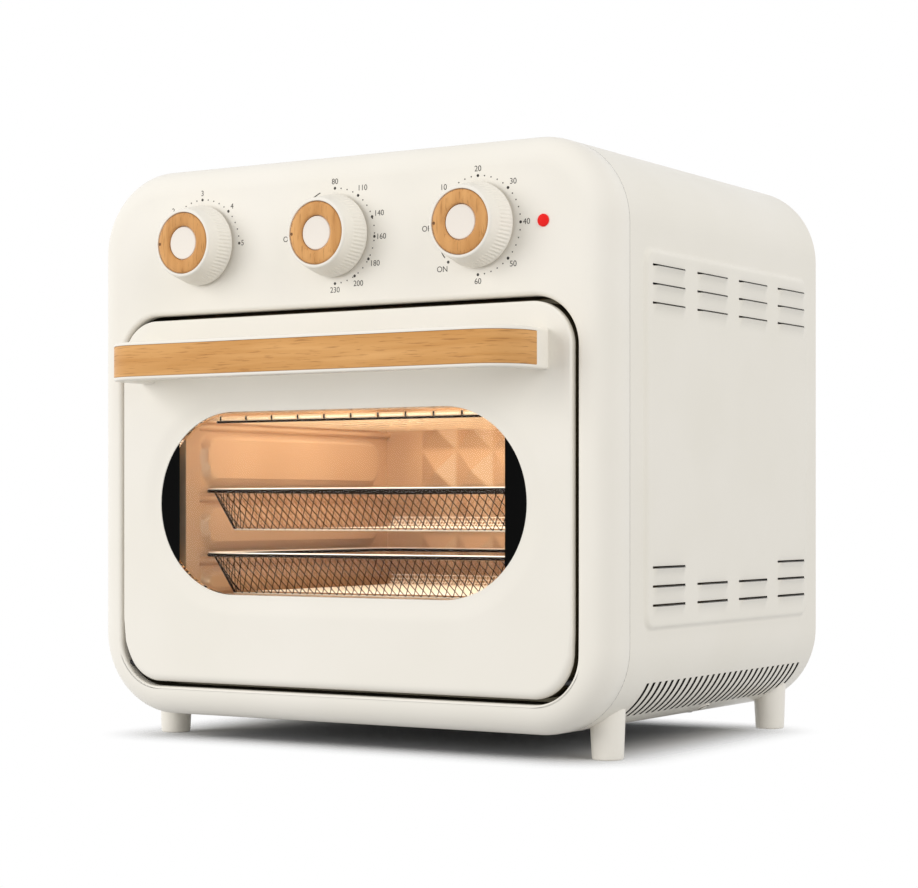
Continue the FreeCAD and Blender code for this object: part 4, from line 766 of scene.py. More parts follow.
@dataclass
class Casing(Assembly):
    """Bezel, wrap, feet, side screws, lamp, rear and base."""

    least_corner: float = 1 * MM
    face_fillet: float = 16 * MM
    fillet_flat: float = 0.1 * MM
    wall: float = 2.5 * MM
    opening_grow: float = 3.0 * MM
    opening_edge: float = 2.8 * MM
    opening_low_edge: float = 1.2 * MM
    opening_flat: float = 0.2 * MM
    opening_blend: float = 70 * MM
    opening_bright: float = 6.5 * MM
    opening_slack: float = 1 * MM
    seam_insets: tuple[float, ...] = (0.0, 0.03 * MM, 0.12 * MM)
    seam_steps: tuple[float, ...] = (0.15 * MM, 0.05 * MM, 0.0)
    sheet: float = 1.0 * MM
    seam: float = 0.1 * MM
    sheet_end: float = 1 * MM
    side_rows: int = 24
    field_start: float = 40 * MM
    field_end: float = 263 * MM
    field_low: float = 72.4 * MM
    field_high: float = 286 * MM
    field_raise: float = 2.0 * MM
    field_bevel: float = 3.0 * MM
    field_corner: float = 9 * MM
    bevel_span: tuple[float, float] = (-0.5 * MM, 6 * MM)
    louvre_start: float = 48 * MM
    louvre_pitch: float = 56.1 * MM
    louvre_length: float = 40.5 * MM
    louvre_slit: float = 1.25 * MM
    louvre_lip: float = 2.2 * MM
    louvre_drop: float = 5.0 * MM
    louvre_ease: float = 4 * MM
    louvre_curve: float = 1.6
    louvre_row: float = 10.6 * MM
    louvre_rows: int = 3
    louvre_columns: int = 4
    louvre_tops: tuple[float, float] = (276.3 * MM, 107.9 * MM)
    slit_slack: float = 0.01
    slit_rows: tuple[float, ...] = (-1.01, 1.0, -1.6, -2.4, -3.3, -4.4, -5.4)
    vent_count: int = 28
    vent_start: float = 54.5 * MM
    vent_pitch: float = 7.7 * MM
    vent_width: float = 3.1 * MM
    vent_angles: tuple[float, float] = (26.0, 57.0)
    lip_x: float = 120 * MM
    foot_radius: float = 9.0 * MM
    foot_flare: float = 1.0 * MM
    foot_edge: float = 1.2 * MM
    foot_start: float = 0.12
    foot_rows: int = 6
    foot_sink: float = 0.5 * MM
    foot_limit: float = 0.999
    sole_centre: float = 0.01 * MM
    screw_depth: float = 172 * MM
    screw_angle: float = 63.5
    screw_collar: float = 4.3 * MM
    screw_lip: float = 0.7 * MM
    screw_head: float = 2.5 * MM
    screw_bevel: float = 0.3 * MM
    screw_gap: float = 0.1 * MM
    screw_dome: tuple[float, float] = (0.8, 0.3)
    screw_heights: tuple[float, ...] = (-1.0, 0.1, 0.45, 0.4, 0.05, 0.05, 0.6, 1.0, 1.1, 1.1)
    lamp_sink: float = 6 * MM
    lamp_barrel: float = 0.4 * MM
    lamp_crown: float = 1.0 * MM

    def build(self) -> None:
        """Builds and dresses every piece of the casing."""
        self.dress(self.bezel(), Finishes.CREAM, "housing", "cream_plastic", "front_bezel")
        self.dress(self.wrap(), Finishes.ENAMEL, "housing", "cream_enamel", "casing_wrap")
        for node in ("foot_front_left", "foot_front_right", "foot_rear_left", "foot_rear_right"):
            self.dress(self.foot(node), Finishes.CREAM, "housing", "cream_plastic", node)
        for name, sign in (("side_screw_left", -1), ("side_screw_right", 1)):
            screw = self.side_screw(name, sign)
            self.dress(screw, Finishes.ENAMEL, "housing", "cream_enamel", "casing_wrap")
        self.dress(self.lamp(), Finishes.RED, "housing", "red_lens", "power_lamp_lens")
        self.paint(Finishes.ENAMEL, "rear_panel")
        self.paint(Finishes.ZINC, "base_panel")
        self.paint(Finishes.STEEL, "rear_screws", "base_screws")
        self.paint(Finishes.RUBBER, "cord_gland")

    def _outer(self, inset: Array, y: Array | float) -> Array:
        """Rings of the casing's outline, drawn in by an inset at a depth.

        Args:
            inset: how far in each ring lies.
            y: depth of the rings.

        Returns:
            Rings by 5, as rounded_loft reads them.
        """
        place = self.layout
        return stacked(place.half - inset, place.base_z + inset, place.top_z - inset,
                       np.maximum(place.corner - inset, self.least_corner), y)

    def _opening(self, grow: Array, y: Array | float) -> Array:
        """Rings of the door opening, grown by an offset at a depth.

        Args:
            grow: how far out each ring lies.
            y: depth of the rings.

        Returns:
            Rings by 5, as rounded_loft reads them.
        """
        low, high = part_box("door_panel")
        gap = self.opening_grow + grow
        return stacked(high[0] + gap, low[2] - gap, high[2] + gap, self.layout.door_corner + gap, y)

    def _bezel_points(self, edge: float) -> Array:
        """Rings of the bezel for one edge radius: the opening's wall, the face, the fillet and the seam.

        Args:
            edge: radius of the opening's edge.

        Returns:
            Rings by points by 3.
        """
        face, seam = self.layout.face_y, self.layout.seam_y
        edge_in, edge_out = quarter(edge)
        fillet_in, fillet_out = quarter(self.face_fillet, 14)
        wall = np.array([self.wall])
        rows = [
            self._opening(np.zeros(2), np.array([seam, face + self.opening_bright])),
            self._opening(edge_out, face + edge_in),
            self._opening(np.array([edge + self.opening_flat]), face),
            self._outer(np.array([self.face_fillet + self.fillet_flat]), face),
            self._outer(fillet_in, face + fillet_out),
            self._outer(np.array(self.seam_insets), seam - np.array(self.seam_steps)),
            self._outer(wall, seam),
            self._outer(wall, face + self.face_fillet),
            self._outer(np.array([self.face_fillet]), face + self.wall),
            self._opening(wall, face + self.wall),
            self._opening(wall, seam),
        ]
        return rounded_loft(np.vstack(rows), corner=20, side=16)

    def bezel(self) -> Piece:
        """Bezel shell, whose opening's edge eases from a small radius below to a larger one above.

        Returns:
            The shell, with painted shade on the opening's wall behind its edge.
        """
        soft, crisp = self._bezel_points(self.opening_edge), self._bezel_points(self.opening_low_edge)
        share = smooth_step((crisp[..., 2:] - self.layout.base_z) / self.opening_blend)
        shell = surface("bezel_shell", crisp + (soft - crisp) * share, wrap_rows=True, wrap_columns=True)
        middles, normals = face_sides(shell)
        x, y, z = middles.T
        low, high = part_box("door_panel")
        reach = self.opening_grow + self.opening_slack
        inside = (np.abs(x) < high[0] + reach) & (z > low[2] - reach) & (z < high[2] + reach)
        lateral = np.abs(normals[:, 1]) < SIDEWAYS
        # Painted shade: the opening's wall deeper than opening_bright behind the face takes the dark gap
        # colour.
        dark = inside & lateral & (y > self.layout.face_y + self.opening_bright)
        return self.coat(shell, Finishes.CREAM, Finishes.GAP_SHADE, index=dark)

    def _louvres(self) -> Array:
        """Start depth and slit height of a side's louvres; the lower set's top row has only its ends.

        Returns:
            Louvres by 2.
        """
        row, column = np.divmod(np.arange(self.louvre_rows * self.louvre_columns), self.louvre_columns)
        lower = (row > 0) | (column == 0) | (column == self.louvre_columns - 1)
        start = self.layout.face_y + self.louvre_start + column * self.louvre_pitch
        upper_z, lower_z = (top - row * self.louvre_row for top in self.louvre_tops)
        return stacked(np.append(start, start[lower]), np.append(upper_z, lower_z[lower]))

    def _relief(self, y: Array, z: Array) -> Array:
        """Outward relief of a side: a raised field with soft bevels, and a lip that fades below each slit.

        The field rises with the eased distance inside a round-cornered rectangle. A lip is a power of
        one minus the drop below its slit, eased towards both ends.

        Args:
            y: grid depths.
            z: grid heights.

        Returns:
            Relief at each grid point.
        """
        middle_y = self.layout.face_y + (self.field_start + self.field_end) / 2
        middle_z = (self.field_low + self.field_high) / 2
        reach_y = np.abs(y - middle_y) - (self.field_end - self.field_start) / 2 + self.field_corner
        reach_z = np.abs(z - middle_z) - (self.field_high - self.field_low) / 2 + self.field_corner
        inside = self.field_corner - past_box(reach_y, reach_z)
        start, slit = self._louvres().T[:, :, None, None]
        drop = (slit - self.louvre_slit / 2 - z[None]) / self.louvre_drop
        ends = np.minimum(y[None] - start, start + self.louvre_length - y[None]) / self.louvre_ease
        fall = (1 - np.clip(drop, 0, 1)) ** self.louvre_curve
        lip = np.where((drop >= -self.slit_slack) & (drop <= 1), fall, 0) * smooth_step(ends)
        return self.field_raise * smooth_step(inside / self.field_bevel) + self.louvre_lip * lip.max(axis=0)

    def _bevel_steps(self) -> Array:
        """Grid steps across a bevel of the raised field."""
        return np.linspace(*self.bevel_span, 8)

    def _side_heights(self) -> Array:
        """Grid heights up a side: even steps, the field's bevels and close rows round each louvre slit.

        Returns:
            Rising heights.
        """
        low, high = self.layout.base_z + self.layout.corner, self.layout.top_z - self.layout.corner
        slits = np.unique(self._louvres()[:, 1])
        offsets = np.array(self.slit_rows) * self.louvre_slit / 2
        offsets = np.append(offsets, -self.louvre_slit / 2 - self.louvre_drop)
        rows = (slits[:, None] + offsets[None]).ravel()
        bevel = self._bevel_steps()
        even = np.linspace(low, high, self.side_rows)
        heights = np.concatenate([even, rows, self.field_low + bevel, self.field_high - bevel])
        return np.unique(np.round(heights, GRID_DIGITS))

    def _depths(self) -> Array:
        """Grid depths from the seam to the rear: vent edges, louvre ends and the field's bevels.

        Returns:
            Rising depths.
        """
        face, front, rear = self.layout.face_y, self.layout.seam_y + self.seam, self.layout.rear_y
        vents = face + self.vent_start + np.arange(self.vent_count) * self.vent_pitch
        starts = (face + self.louvre_start + np.arange(self.louvre_columns) * self.louvre_pitch)[:, None]
        ease = np.linspace(0, self.louvre_ease, 5)
        bevel = self._bevel_steps()
        limits = [front, front + self.sheet_end, rear - self.sheet_end, rear]
        depths = [vents, vents + self.vent_width, (starts + ease).ravel(),
                  (starts + self.louvre_length - ease).ravel(), face + self.field_start + bevel,
                  face + self.field_end - bevel, limits]
        return np.unique(np.round(np.concatenate(depths), GRID_DIGITS))

    def wrap(self) -> Piece:
        """Casing sheet: the outline from one lower lip over the top to the other, from the seam to the rear.

        Corner points are the corner centre plus radius times cosine and sine. Side points move out by the
        relief. Cells inside louvre slits and corner vents are left out, and the sheet then gets its wall.

        Returns:
            The walled sheet, with painted shade on its inner side and on the cut edges of its slits and
            vents.
        """
        place = self.layout
        low_z, high_z = place.base_z + place.corner, place.top_z - place.corner
        inner_x = place.half - place.corner
        first, last = self.vent_angles
        below = np.radians(np.concatenate([np.linspace(90, last, 10), np.linspace(last, first, 8)[1:],
                                           np.linspace(first, 0, 7)[1:]]))
        above = np.radians(np.linspace(0, 90, 20))
        side = self._side_heights()[1:-1]
        x = np.concatenate([[self.lip_x], inner_x + place.corner * np.cos(below),
                            np.full(side.shape, place.half), inner_x + place.corner * np.cos(above),
                            [inner_x / 2]])
        z = np.concatenate([[place.base_z], low_z - place.corner * np.sin(below), side,
                            high_z + place.corner * np.sin(above), [place.top_z]])
        is_side = np.concatenate([np.zeros(1 + len(below)), np.ones(len(side)), np.zeros(len(above) + 1)])
        turn = np.concatenate([[0], np.degrees(below), np.zeros(len(side) + len(above) + 1)])
        x = np.concatenate([x, -x[::-1]])
        z, is_side, turn = (np.concatenate([run, run[::-1]]) for run in (z, is_side, turn))
        y = self._depths()
        grid_y, grid_z = np.broadcast_arrays(y[None, :], z[:, None])
        relief = self._relief(grid_y, grid_z) * is_side[:, None]
        grid_x = x[:, None] + np.sign(x)[:, None] * relief
        points = stacked(grid_x, grid_y, grid_z)
        keep = ~self._cut_cells(y, z, is_side, turn)
        sheet = face_along(surface("casing_sheet", points, keep=keep), (0, 0, 1))
        # The inner side and cut edges take painted shade, so that the slits and vents read dark.
        return thickened(self.coat(sheet, Finishes.ENAMEL, Finishes.INNER_SHADE), self.sheet, lined=True)

    def _cut_cells(self, y: Array, z: Array, is_side: Array, turn: Array) -> Array:
        """Cells that lie inside a louvre slit or a corner vent.

        Args:
            y: grid depths.
            z: grid heights along the outline.
            is_side: 1 on the flat sides.
            turn: degrees below the horizontal on the lower corners.

        Returns:
            True for cells to leave out.
        """
        mid_y = ((y[1:] + y[:-1]) / 2)[None, :]
        mid_z, mid_turn = (((run[1:] + run[:-1]) / 2)[:, None] for run in (z, turn))
        on_side = ((is_side[1:] + is_side[:-1]) > 0)[:, None]
        start, slit = self._louvres().T[:, :, None, None]
        along = (mid_y > start) & (mid_y < start + self.louvre_length)
        in_slit = ((np.abs(mid_z - slit) < self.louvre_slit / 2) & along).any(axis=0)
        phase = (mid_y - self.layout.face_y - self.vent_start) / self.vent_pitch
        in_vent = (phase > 0) & (phase < self.vent_count) & (phase % 1 < self.vent_width / self.vent_pitch)
        in_arc = (mid_turn > self.vent_angles[0]) & (mid_turn < self.vent_angles[1])
        return (in_slit & on_side) | (in_vent & in_arc)

    def foot(self, node: str) -> Piece:
        """Tapered foot: circles that widen upwards and end on the casing's lower corner.

        Args:
            node: the foot's node.

        Returns:
            The foot, closed at its sole.
        """
        place, centre = self.layout, middle_of(node)
        angle = full_turn(48)
        edge_in, edge_out = quarter(self.foot_edge)
        sole = np.concatenate([[self.sole_centre, self.foot_radius / 2], self.foot_radius - edge_in])
        height = np.concatenate([[0, 0], edge_out, np.zeros(self.foot_rows)])[:, None]
        rise = np.append(np.zeros(len(sole)), np.linspace(self.foot_start, 1, self.foot_rows))[:, None]
        radius = np.append(sole, [self.foot_radius] * self.foot_rows)[:, None] + self.foot_flare * rise
        x, y = centre[0] + radius * np.cos(angle), centre[1] + radius * np.sin(angle)
        across = np.clip(np.abs(x) - (place.half - place.corner), 0, place.corner * self.foot_limit)
        top = place.base_z + place.corner - np.sqrt(place.corner ** 2 - across ** 2) + self.foot_sink
        z = np.where(rise > 0, rise * top, height)
        return surface("tapered_" + node, stacked(x, y, z), wrap_columns=True)

    def side_screw(self, name: str, sign: int) -> Piece:
        """Screw head in a low collar on a lower corner: a turned profile, tipped to the corner's slope.

        Args:
            name: piece's name.
            sign: 1 for the right side, -1 for the left.

        Returns:
            The screw with its collar, and painted shade in the groove between them.
        """
        place, turn = self.layout, math.radians(self.screw_angle)
        collar, head, lip = self.screw_collar, self.screw_head, self.screw_collar - self.screw_lip
        radii = [collar, collar, collar - self.screw_bevel, lip, lip - self.screw_gap, head + self.screw_gap,
                 head, *(head * share for share in self.screw_dome), AXIS_RADIUS]
        rows = stacked(radii, np.array(self.screw_heights) * MM)
        out = np.array([sign * math.cos(turn), 0.0, -math.sin(turn)])
        axes = np.array([[0.0, 1.0, 0.0], -out, [math.sin(turn), 0.0, sign * math.cos(turn)]])
        seat = place.corner * out + np.array([sign * (place.half - place.corner),
                                              place.face_y + self.screw_depth, place.base_z + place.corner])
        screw = surface(name, seat + turned(rows, (0.0, 0.0, 0.0), 32) @ axes, wrap_columns=True)
        reach = np.linalg.norm((face_sides(screw)[0] - seat) @ axes.T[:, ::2], axis=1)
        # Painted shade: faces between the head and the collar's lip take the dark gap colour.
        return self.coat(screw, Finishes.ENAMEL, Finishes.GAP_SHADE, index=(reach > head) & (reach < lip))

    def lamp(self) -> Piece:
        """Power lamp lens: a short barrel under a low dome.

        Returns:
            The lens.
        """
        low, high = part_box("power_lamp_lens")
        centre = middle_of("power_lamp_lens")
        radius = (high[0] - low[0]) / 2
        angle = np.linspace(0, QUARTER, 10)
        dome = stacked(radius * np.cos(angle), self.lamp_barrel + self.lamp_crown * np.sin(angle))
        profile = np.vstack([[[AXIS_RADIUS, -self.lamp_sink], [radius, -self.lamp_sink]], dome])
        lens = turned(profile, (centre[0], self.layout.face_y, centre[2]), 40)
        return surface("lamp_dome", lens, wrap_columns=True)


@dataclass
class Door(Assembly):
    """Door shell, window, liner, bow handle and its wooden strip."""

    wall: float = 2.5 * MM
    edge: float = 1.4 * MM
    edge_clear: float = 0.3 * MM
    edge_flat: float = 1.5 * MM
    low_edge: float = 4.6 * MM
    low_ease: float = 0.8 * MM
    low_start: float = 13 * MM
    low_blend: float = 22 * MM
    rim_share: float = 0.93
    dish_width: float = 13 * MM
    dish_depth: float = 1.2 * MM
    dish_lip: float = 0.3 * MM
    dish_flat: float = 2 * MM
    proud: float = 2.6 * MM
    widen: float = 0.3 * MM
    pane: float = 3.0 * MM
    pane_sink: float = 0.4 * MM
    pane_gap: float = 0.1 * MM
    seat_width: float = 1 * MM
    round_slack: float = 0.2 * MM
    view_margin: float = 14 * MM
    print_lift: float = 0.05 * MM
    print_overlap: float = 0.5 * MM
    glass_overlap: float = 5.8 * MM
    handle_wall: float = 12 * MM
    handle_bend: float = 25 * MM
    handle_lip: float = 1.2 * MM
    handle_back: float = 4.0 * MM
    handle_trim: float = 2 * MM
    leg_points: int = 4
    bend_points: int = 16
    front_points: int = 18
    strip_height: float = 18.6 * MM
    strip_depth: float = 2.5 * MM
    strip_end: float = 29 * MM
    strip_gap: float = 0.12 * MM
    strip_ease: float = 0.5 * MM

    def build(self) -> None:
        """Builds and dresses every piece of the door."""
        self.dress(self.panel(), Finishes.CREAM, "door", "cream_plastic", "door_panel")
        self.dress(self.bow(), Finishes.CREAM, "door", "cream_plastic", "handle_bow")
        self.dress(self.strip(), Finishes.WOOD, "door", "wood", "handle_strip")
        self.dress(self.window(), Finishes.GLASS, "door", "glass", "window_glass")
        for side, sign in (("left", -1.0), ("right", 1.0)):
            field = self.mask("window_print_" + side, sign)
            self.dress(field, Finishes.BLACK, "door", "black_print", "window_mask")
        self.paint(Finishes.LINER, "door_liner")
        self.paint(Finishes.STEEL, "handle_screws")
        self.paint(Finishes.IRON, "hinge_pins", "hinge_bushes")

    def _front(self) -> float:
        """Depth of the door's face."""
        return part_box("door_panel")[0][1] - self.proud

    def _pane_front(self) -> float:
        """Depth of the window pane's face."""
        return self._front() + self.dish_depth + self.pane_sink

    def _outline(self, inset: Array | float, y: Array | float, widen: float) -> Array:
        """Rings of the door's outline, widened and drawn in by an inset at a depth.

        Args:
            inset: how far in each ring lies.
            y: depth of the rings.
            widen: widening.

        Returns:
            Rings by 5, as rounded_loft reads them.
        """
        low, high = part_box("door_panel")
        inset = np.atleast_1d(inset)
        return stacked(high[0] + widen - inset, low[2] + inset, high[2] - inset,
                       self.layout.door_corner - inset, y)

    def _window(self, grow: Array | float, y: Array | float) -> Array:
        """Rings of the window's outline, grown by an offset at a depth.

        Args:
            grow: how far out each ring lies.
            y: depth of the rings.

        Returns:
            Rings by 5, as rounded_loft reads them.
        """
        low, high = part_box("window_glass")
        grow = np.atleast_1d(grow) - self.glass_overlap
        radius = np.maximum((high[2] - low[2]) / 2 + grow - self.round_slack, 0)
        return stacked(high[0] + grow, low[2] - grow, high[2] + grow, radius, y)

    def panel(self) -> Piece:
        """Door shell: rings from the glass seat over the soft dish, the flat face and the edge to the back.

        The dish falls towards the glass with an eased slope across its width. The front edge is crisp, and
        eases into a rounder one towards the hinges.

        Returns:
            The shell, with painted shade on its side rim behind the front edge, and a black seat.
        """
        low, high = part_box("door_panel")
        crisp = self._shell_points(self.edge, self.widen)
        full = self._shell_points(self.low_edge, -self.low_ease)
        share = smooth_step((full[..., 2:] - low[2] - self.low_start) / self.low_blend)
        shell = surface("door_shell", full + (crisp - full) * share, wrap_rows=True, wrap_columns=True)
        middles, normals = face_sides(shell)
        x, y, z = middles.T
        from_middle = np.abs(z - (low[2] + high[2]) / 2) / ((high[2] - low[2]) / 2)
        outer = np.maximum(np.abs(x) / high[0], from_middle) > self.rim_share
        lateral = np.abs(normals[:, 1]) < SIDEWAYS
        # Painted shade: the door's sides behind the front edge take the dark gap colour, for the shade in
        # the gap round the door.
        rim = outer & lateral & (y > self._front() + self.low_edge + self.edge_clear)
        seat = ~outer & lateral & (y > self._front() + self.dish_depth)
        return self.coat(shell, Finishes.CREAM, Finishes.GAP_SHADE, Finishes.BLACK, index=rim + 2 * seat)

    def _shell_points(self, edge: float, widen: float) -> Array:
        """Rings of the door shell for one front edge radius and one widening.

        Args:
            edge: front edge radius.
            widen: widening.

        Returns:
            Rings by points by 3.
        """
        front, back = self._front(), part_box("door_panel")[1][1]
        glass_y = self._pane_front() + self.pane
        t = np.linspace(0, 1, 12)
        edge_in, edge_out = quarter(edge, 7)
        dish_end = self.dish_width + self.dish_flat
        rows = [
            self._window(0.0, glass_y),
            self._window(0.0, front + self.dish_depth + self.dish_lip),
            self._window(self.dish_lip + t * self.dish_width,
                         front + self.dish_depth * (1 - smooth_step(t))),
            self._window(dish_end, front),
            self._outline(self.low_edge + self.edge_flat, front, widen),
            self._outline(edge_in, front + edge_out, widen),
            self._outline(0.0, front + self.low_edge + self.edge_clear, widen),
            self._outline(0.0, back, widen),
            self._outline(self.wall, back, widen),
            self._outline(self.wall, front + self.wall, widen),
            self._window(dish_end, front + self.wall),
            self._window(self.glass_overlap + self.seat_width, glass_y),
        ]
        return rounded_loft(np.vstack(rows), corner=24, side=12)

    def window(self) -> Piece:
        """Window pane: front and back of the window's outline, each drawn in to its middle line.

        Returns:
            The pane.
        """
        low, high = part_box("window_glass")
        whole = self.glass_overlap - (high[2] - low[2]) / 2
        grow = np.array([whole, -self.pane_gap, -self.pane_gap, whole])
        y = self._pane_front() + self.pane * np.array([0.0, 0.0, 1.0, 1.0])
        rings = rounded_loft(self._window(grow, y), corner=24, side=12)
        return surface("window_pane", rings, wrap_columns=True)

    def mask(self, name: str, sign: float) -> Piece:
        """Black end field on the pane: from the straight view edge out to the window's round end.

        Half the height at a distance from the middle is the root of the end's radius squared minus the
        square of the distance past the end's centre.

        Args:
            name: piece's name.
            sign: -1 for the left field, 1 for the right one.

        Returns:
            The flat field, facing the front.
        """
        low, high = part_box("window_glass")
        half, radius = high[0] - self.glass_overlap, (high[2] - low[2]) / 2 - self.glass_overlap
        t = np.sin(np.linspace(0, QUARTER, 40))
        x = half - self.view_margin + self.view_margin * t
        past = np.maximum(x - half + radius, 0)
        rise = np.sqrt(np.maximum(radius ** 2 - past ** 2, 0)) + self.print_overlap
        z = (low[2] + high[2]) / 2 + rise[:, None] * np.array([-1.0, 1.0])
        points = stacked(sign * x[:, None], self._pane_front() - self.print_lift, z)
        return face_along(surface(name, points), (0, -1, 0))

    def _path(self, leg_end: float) -> tuple[Array, Array]:
        """Plan of the handle's outer side: leg, quarter bend, straight front, quarter bend, leg.

        Args:
            leg_end: depth at which both legs end.

        Returns:
            Points and outward directions.
        """
        low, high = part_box("handle_bow")
        half, front, bend = high[0] - self.handle_trim, low[1], self.handle_bend
        turn = np.linspace(0, QUARTER, self.bend_points)
        sine, cosine = np.sin(turn), np.cos(turn)
        leg = np.linspace(leg_end, front + bend, self.leg_points + 1)[:-1]
        straight = np.linspace(-half + bend, half - bend, self.front_points + 2)[1:-1]
        still, ones = np.zeros(self.leg_points), np.ones(self.leg_points)
        x = np.concatenate([-half * ones, -half + bend - bend * cosine, straight, half - bend + bend * sine,
                            half * ones])
        y = np.concatenate([leg, front + bend - bend * sine, 0 * straight + front,
                            front + bend - bend * cosine, leg[::-1]])
        out_x = np.concatenate([-ones, -cosine, 0 * straight, sine, ones])
        out_y = np.concatenate([still, -sine, 0 * straight - 1, -cosine, still])
        return stacked(x, y, (low[2] + high[2]) / 2), stacked(out_x, out_y, 0 * out_x)

    @staticmethod
    def _carried(name: str, path: Array, outward: Array, section: Array) -> Piece:
        """Closed bar: path plus outward times a section's first value plus up times its second.

        Args:
            name: piece's name.
            path: points along the bar.
            outward: outward direction at each point.
            section: section's points for every path point, or for all of them.

        Returns:
            The bar, whose two ends shrink to their middles.
        """
        upward = np.array([0.0, 0.0, 1.0])
        points = path[:, None] + section[..., :1] * outward[:, None] + section[..., 1:] * upward
        first, last = (end.mean(axis=1, keepdims=True).repeat(points.shape[1], axis=1)
                       for end in (points[:1], points[-1:]))
        return surface(name, np.concatenate([first, points, last]), wrap_columns=True)

    def bow(self) -> Piece:
        """Handle bow: a round-edged section with a groove in front, carried along legs, bends and front.

        Returns:
            The bow.
        """
        low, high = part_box("handle_bow")
        half_height, groove = (high[2] - low[2]) / 2, self.strip_height / 2
        path, outward = self._path(high[1])
        t = np.linspace(0, QUARTER, 6)
        back = self.handle_back
        back_low = stacked(-self.handle_wall + back - back * np.sin(t),
                           -half_height + back - back * np.cos(t))
        upper = np.vstack([round_over(self.handle_lip, 0.0, half_height, 6), [[0, groove]]])
        floor = np.array([[-1.0, groove], [-1.0, -groove]])
        profile = np.vstack([upper, floor, mirrored(upper), back_low, mirrored(back_low)])
        section = np.repeat(profile[None], len(path), axis=0)
        depth = self.strip_depth * (path[:, 1] < low[1] + self.strip_end)
        section[:, len(upper):len(upper) + len(floor), 0] = -depth[:, None]
        return self._carried("handle_bow_grip", path, outward, section)

    def strip(self) -> Piece:
        """Wooden strip: a thin section with eased edges carried along the bends and the front.

        Returns:
            The strip with its grain.
        """
        path, outward = self._path(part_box("handle_bow")[0][1] + self.strip_end)
        half = self.strip_height / 2 - self.strip_gap
        top = round_over(self.strip_ease, 0.0, half, 5)
        back = np.array([[-self.strip_depth, -half], [-self.strip_depth, half]])
        section = np.vstack([top, mirrored(top), back])
        strip = self._carried("handle_wood_strip", path, outward, section[None])
        self._lay_grain(strip)
        return strip

    def _lay_grain(self, strip: Piece) -> None:
        """Writes the strip's length and height at each point, so that the grain follows its bends.

        Along the front the length is X. Round a bend it goes on by radius times angle, and along a leg by
        depth.

        Args:
            strip: the wooden strip.
        """
        low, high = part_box("handle_bow")
        bend = self.handle_bend
        straight, middle = high[0] - self.handle_trim - bend, low[1] + bend
        flat = np.empty(len(strip.data.vertices) * 3)
        strip.data.vertices.foreach_get("co", flat)
        x, y, z = flat.reshape(-1, 3).T
        past = np.maximum(np.abs(x) - straight, 0)
        angle = np.arctan2(past, np.maximum(middle - y, 1e-9))
        length = np.sign(x) * (np.minimum(np.abs(x), straight) + bend * angle + np.maximum(y - middle, 0))
        grain = strip.data.attributes.new("grain", "FLOAT_VECTOR", "POINT")
        grain.data.foreach_set("vector", stacked(length, 0.0, z).ravel())


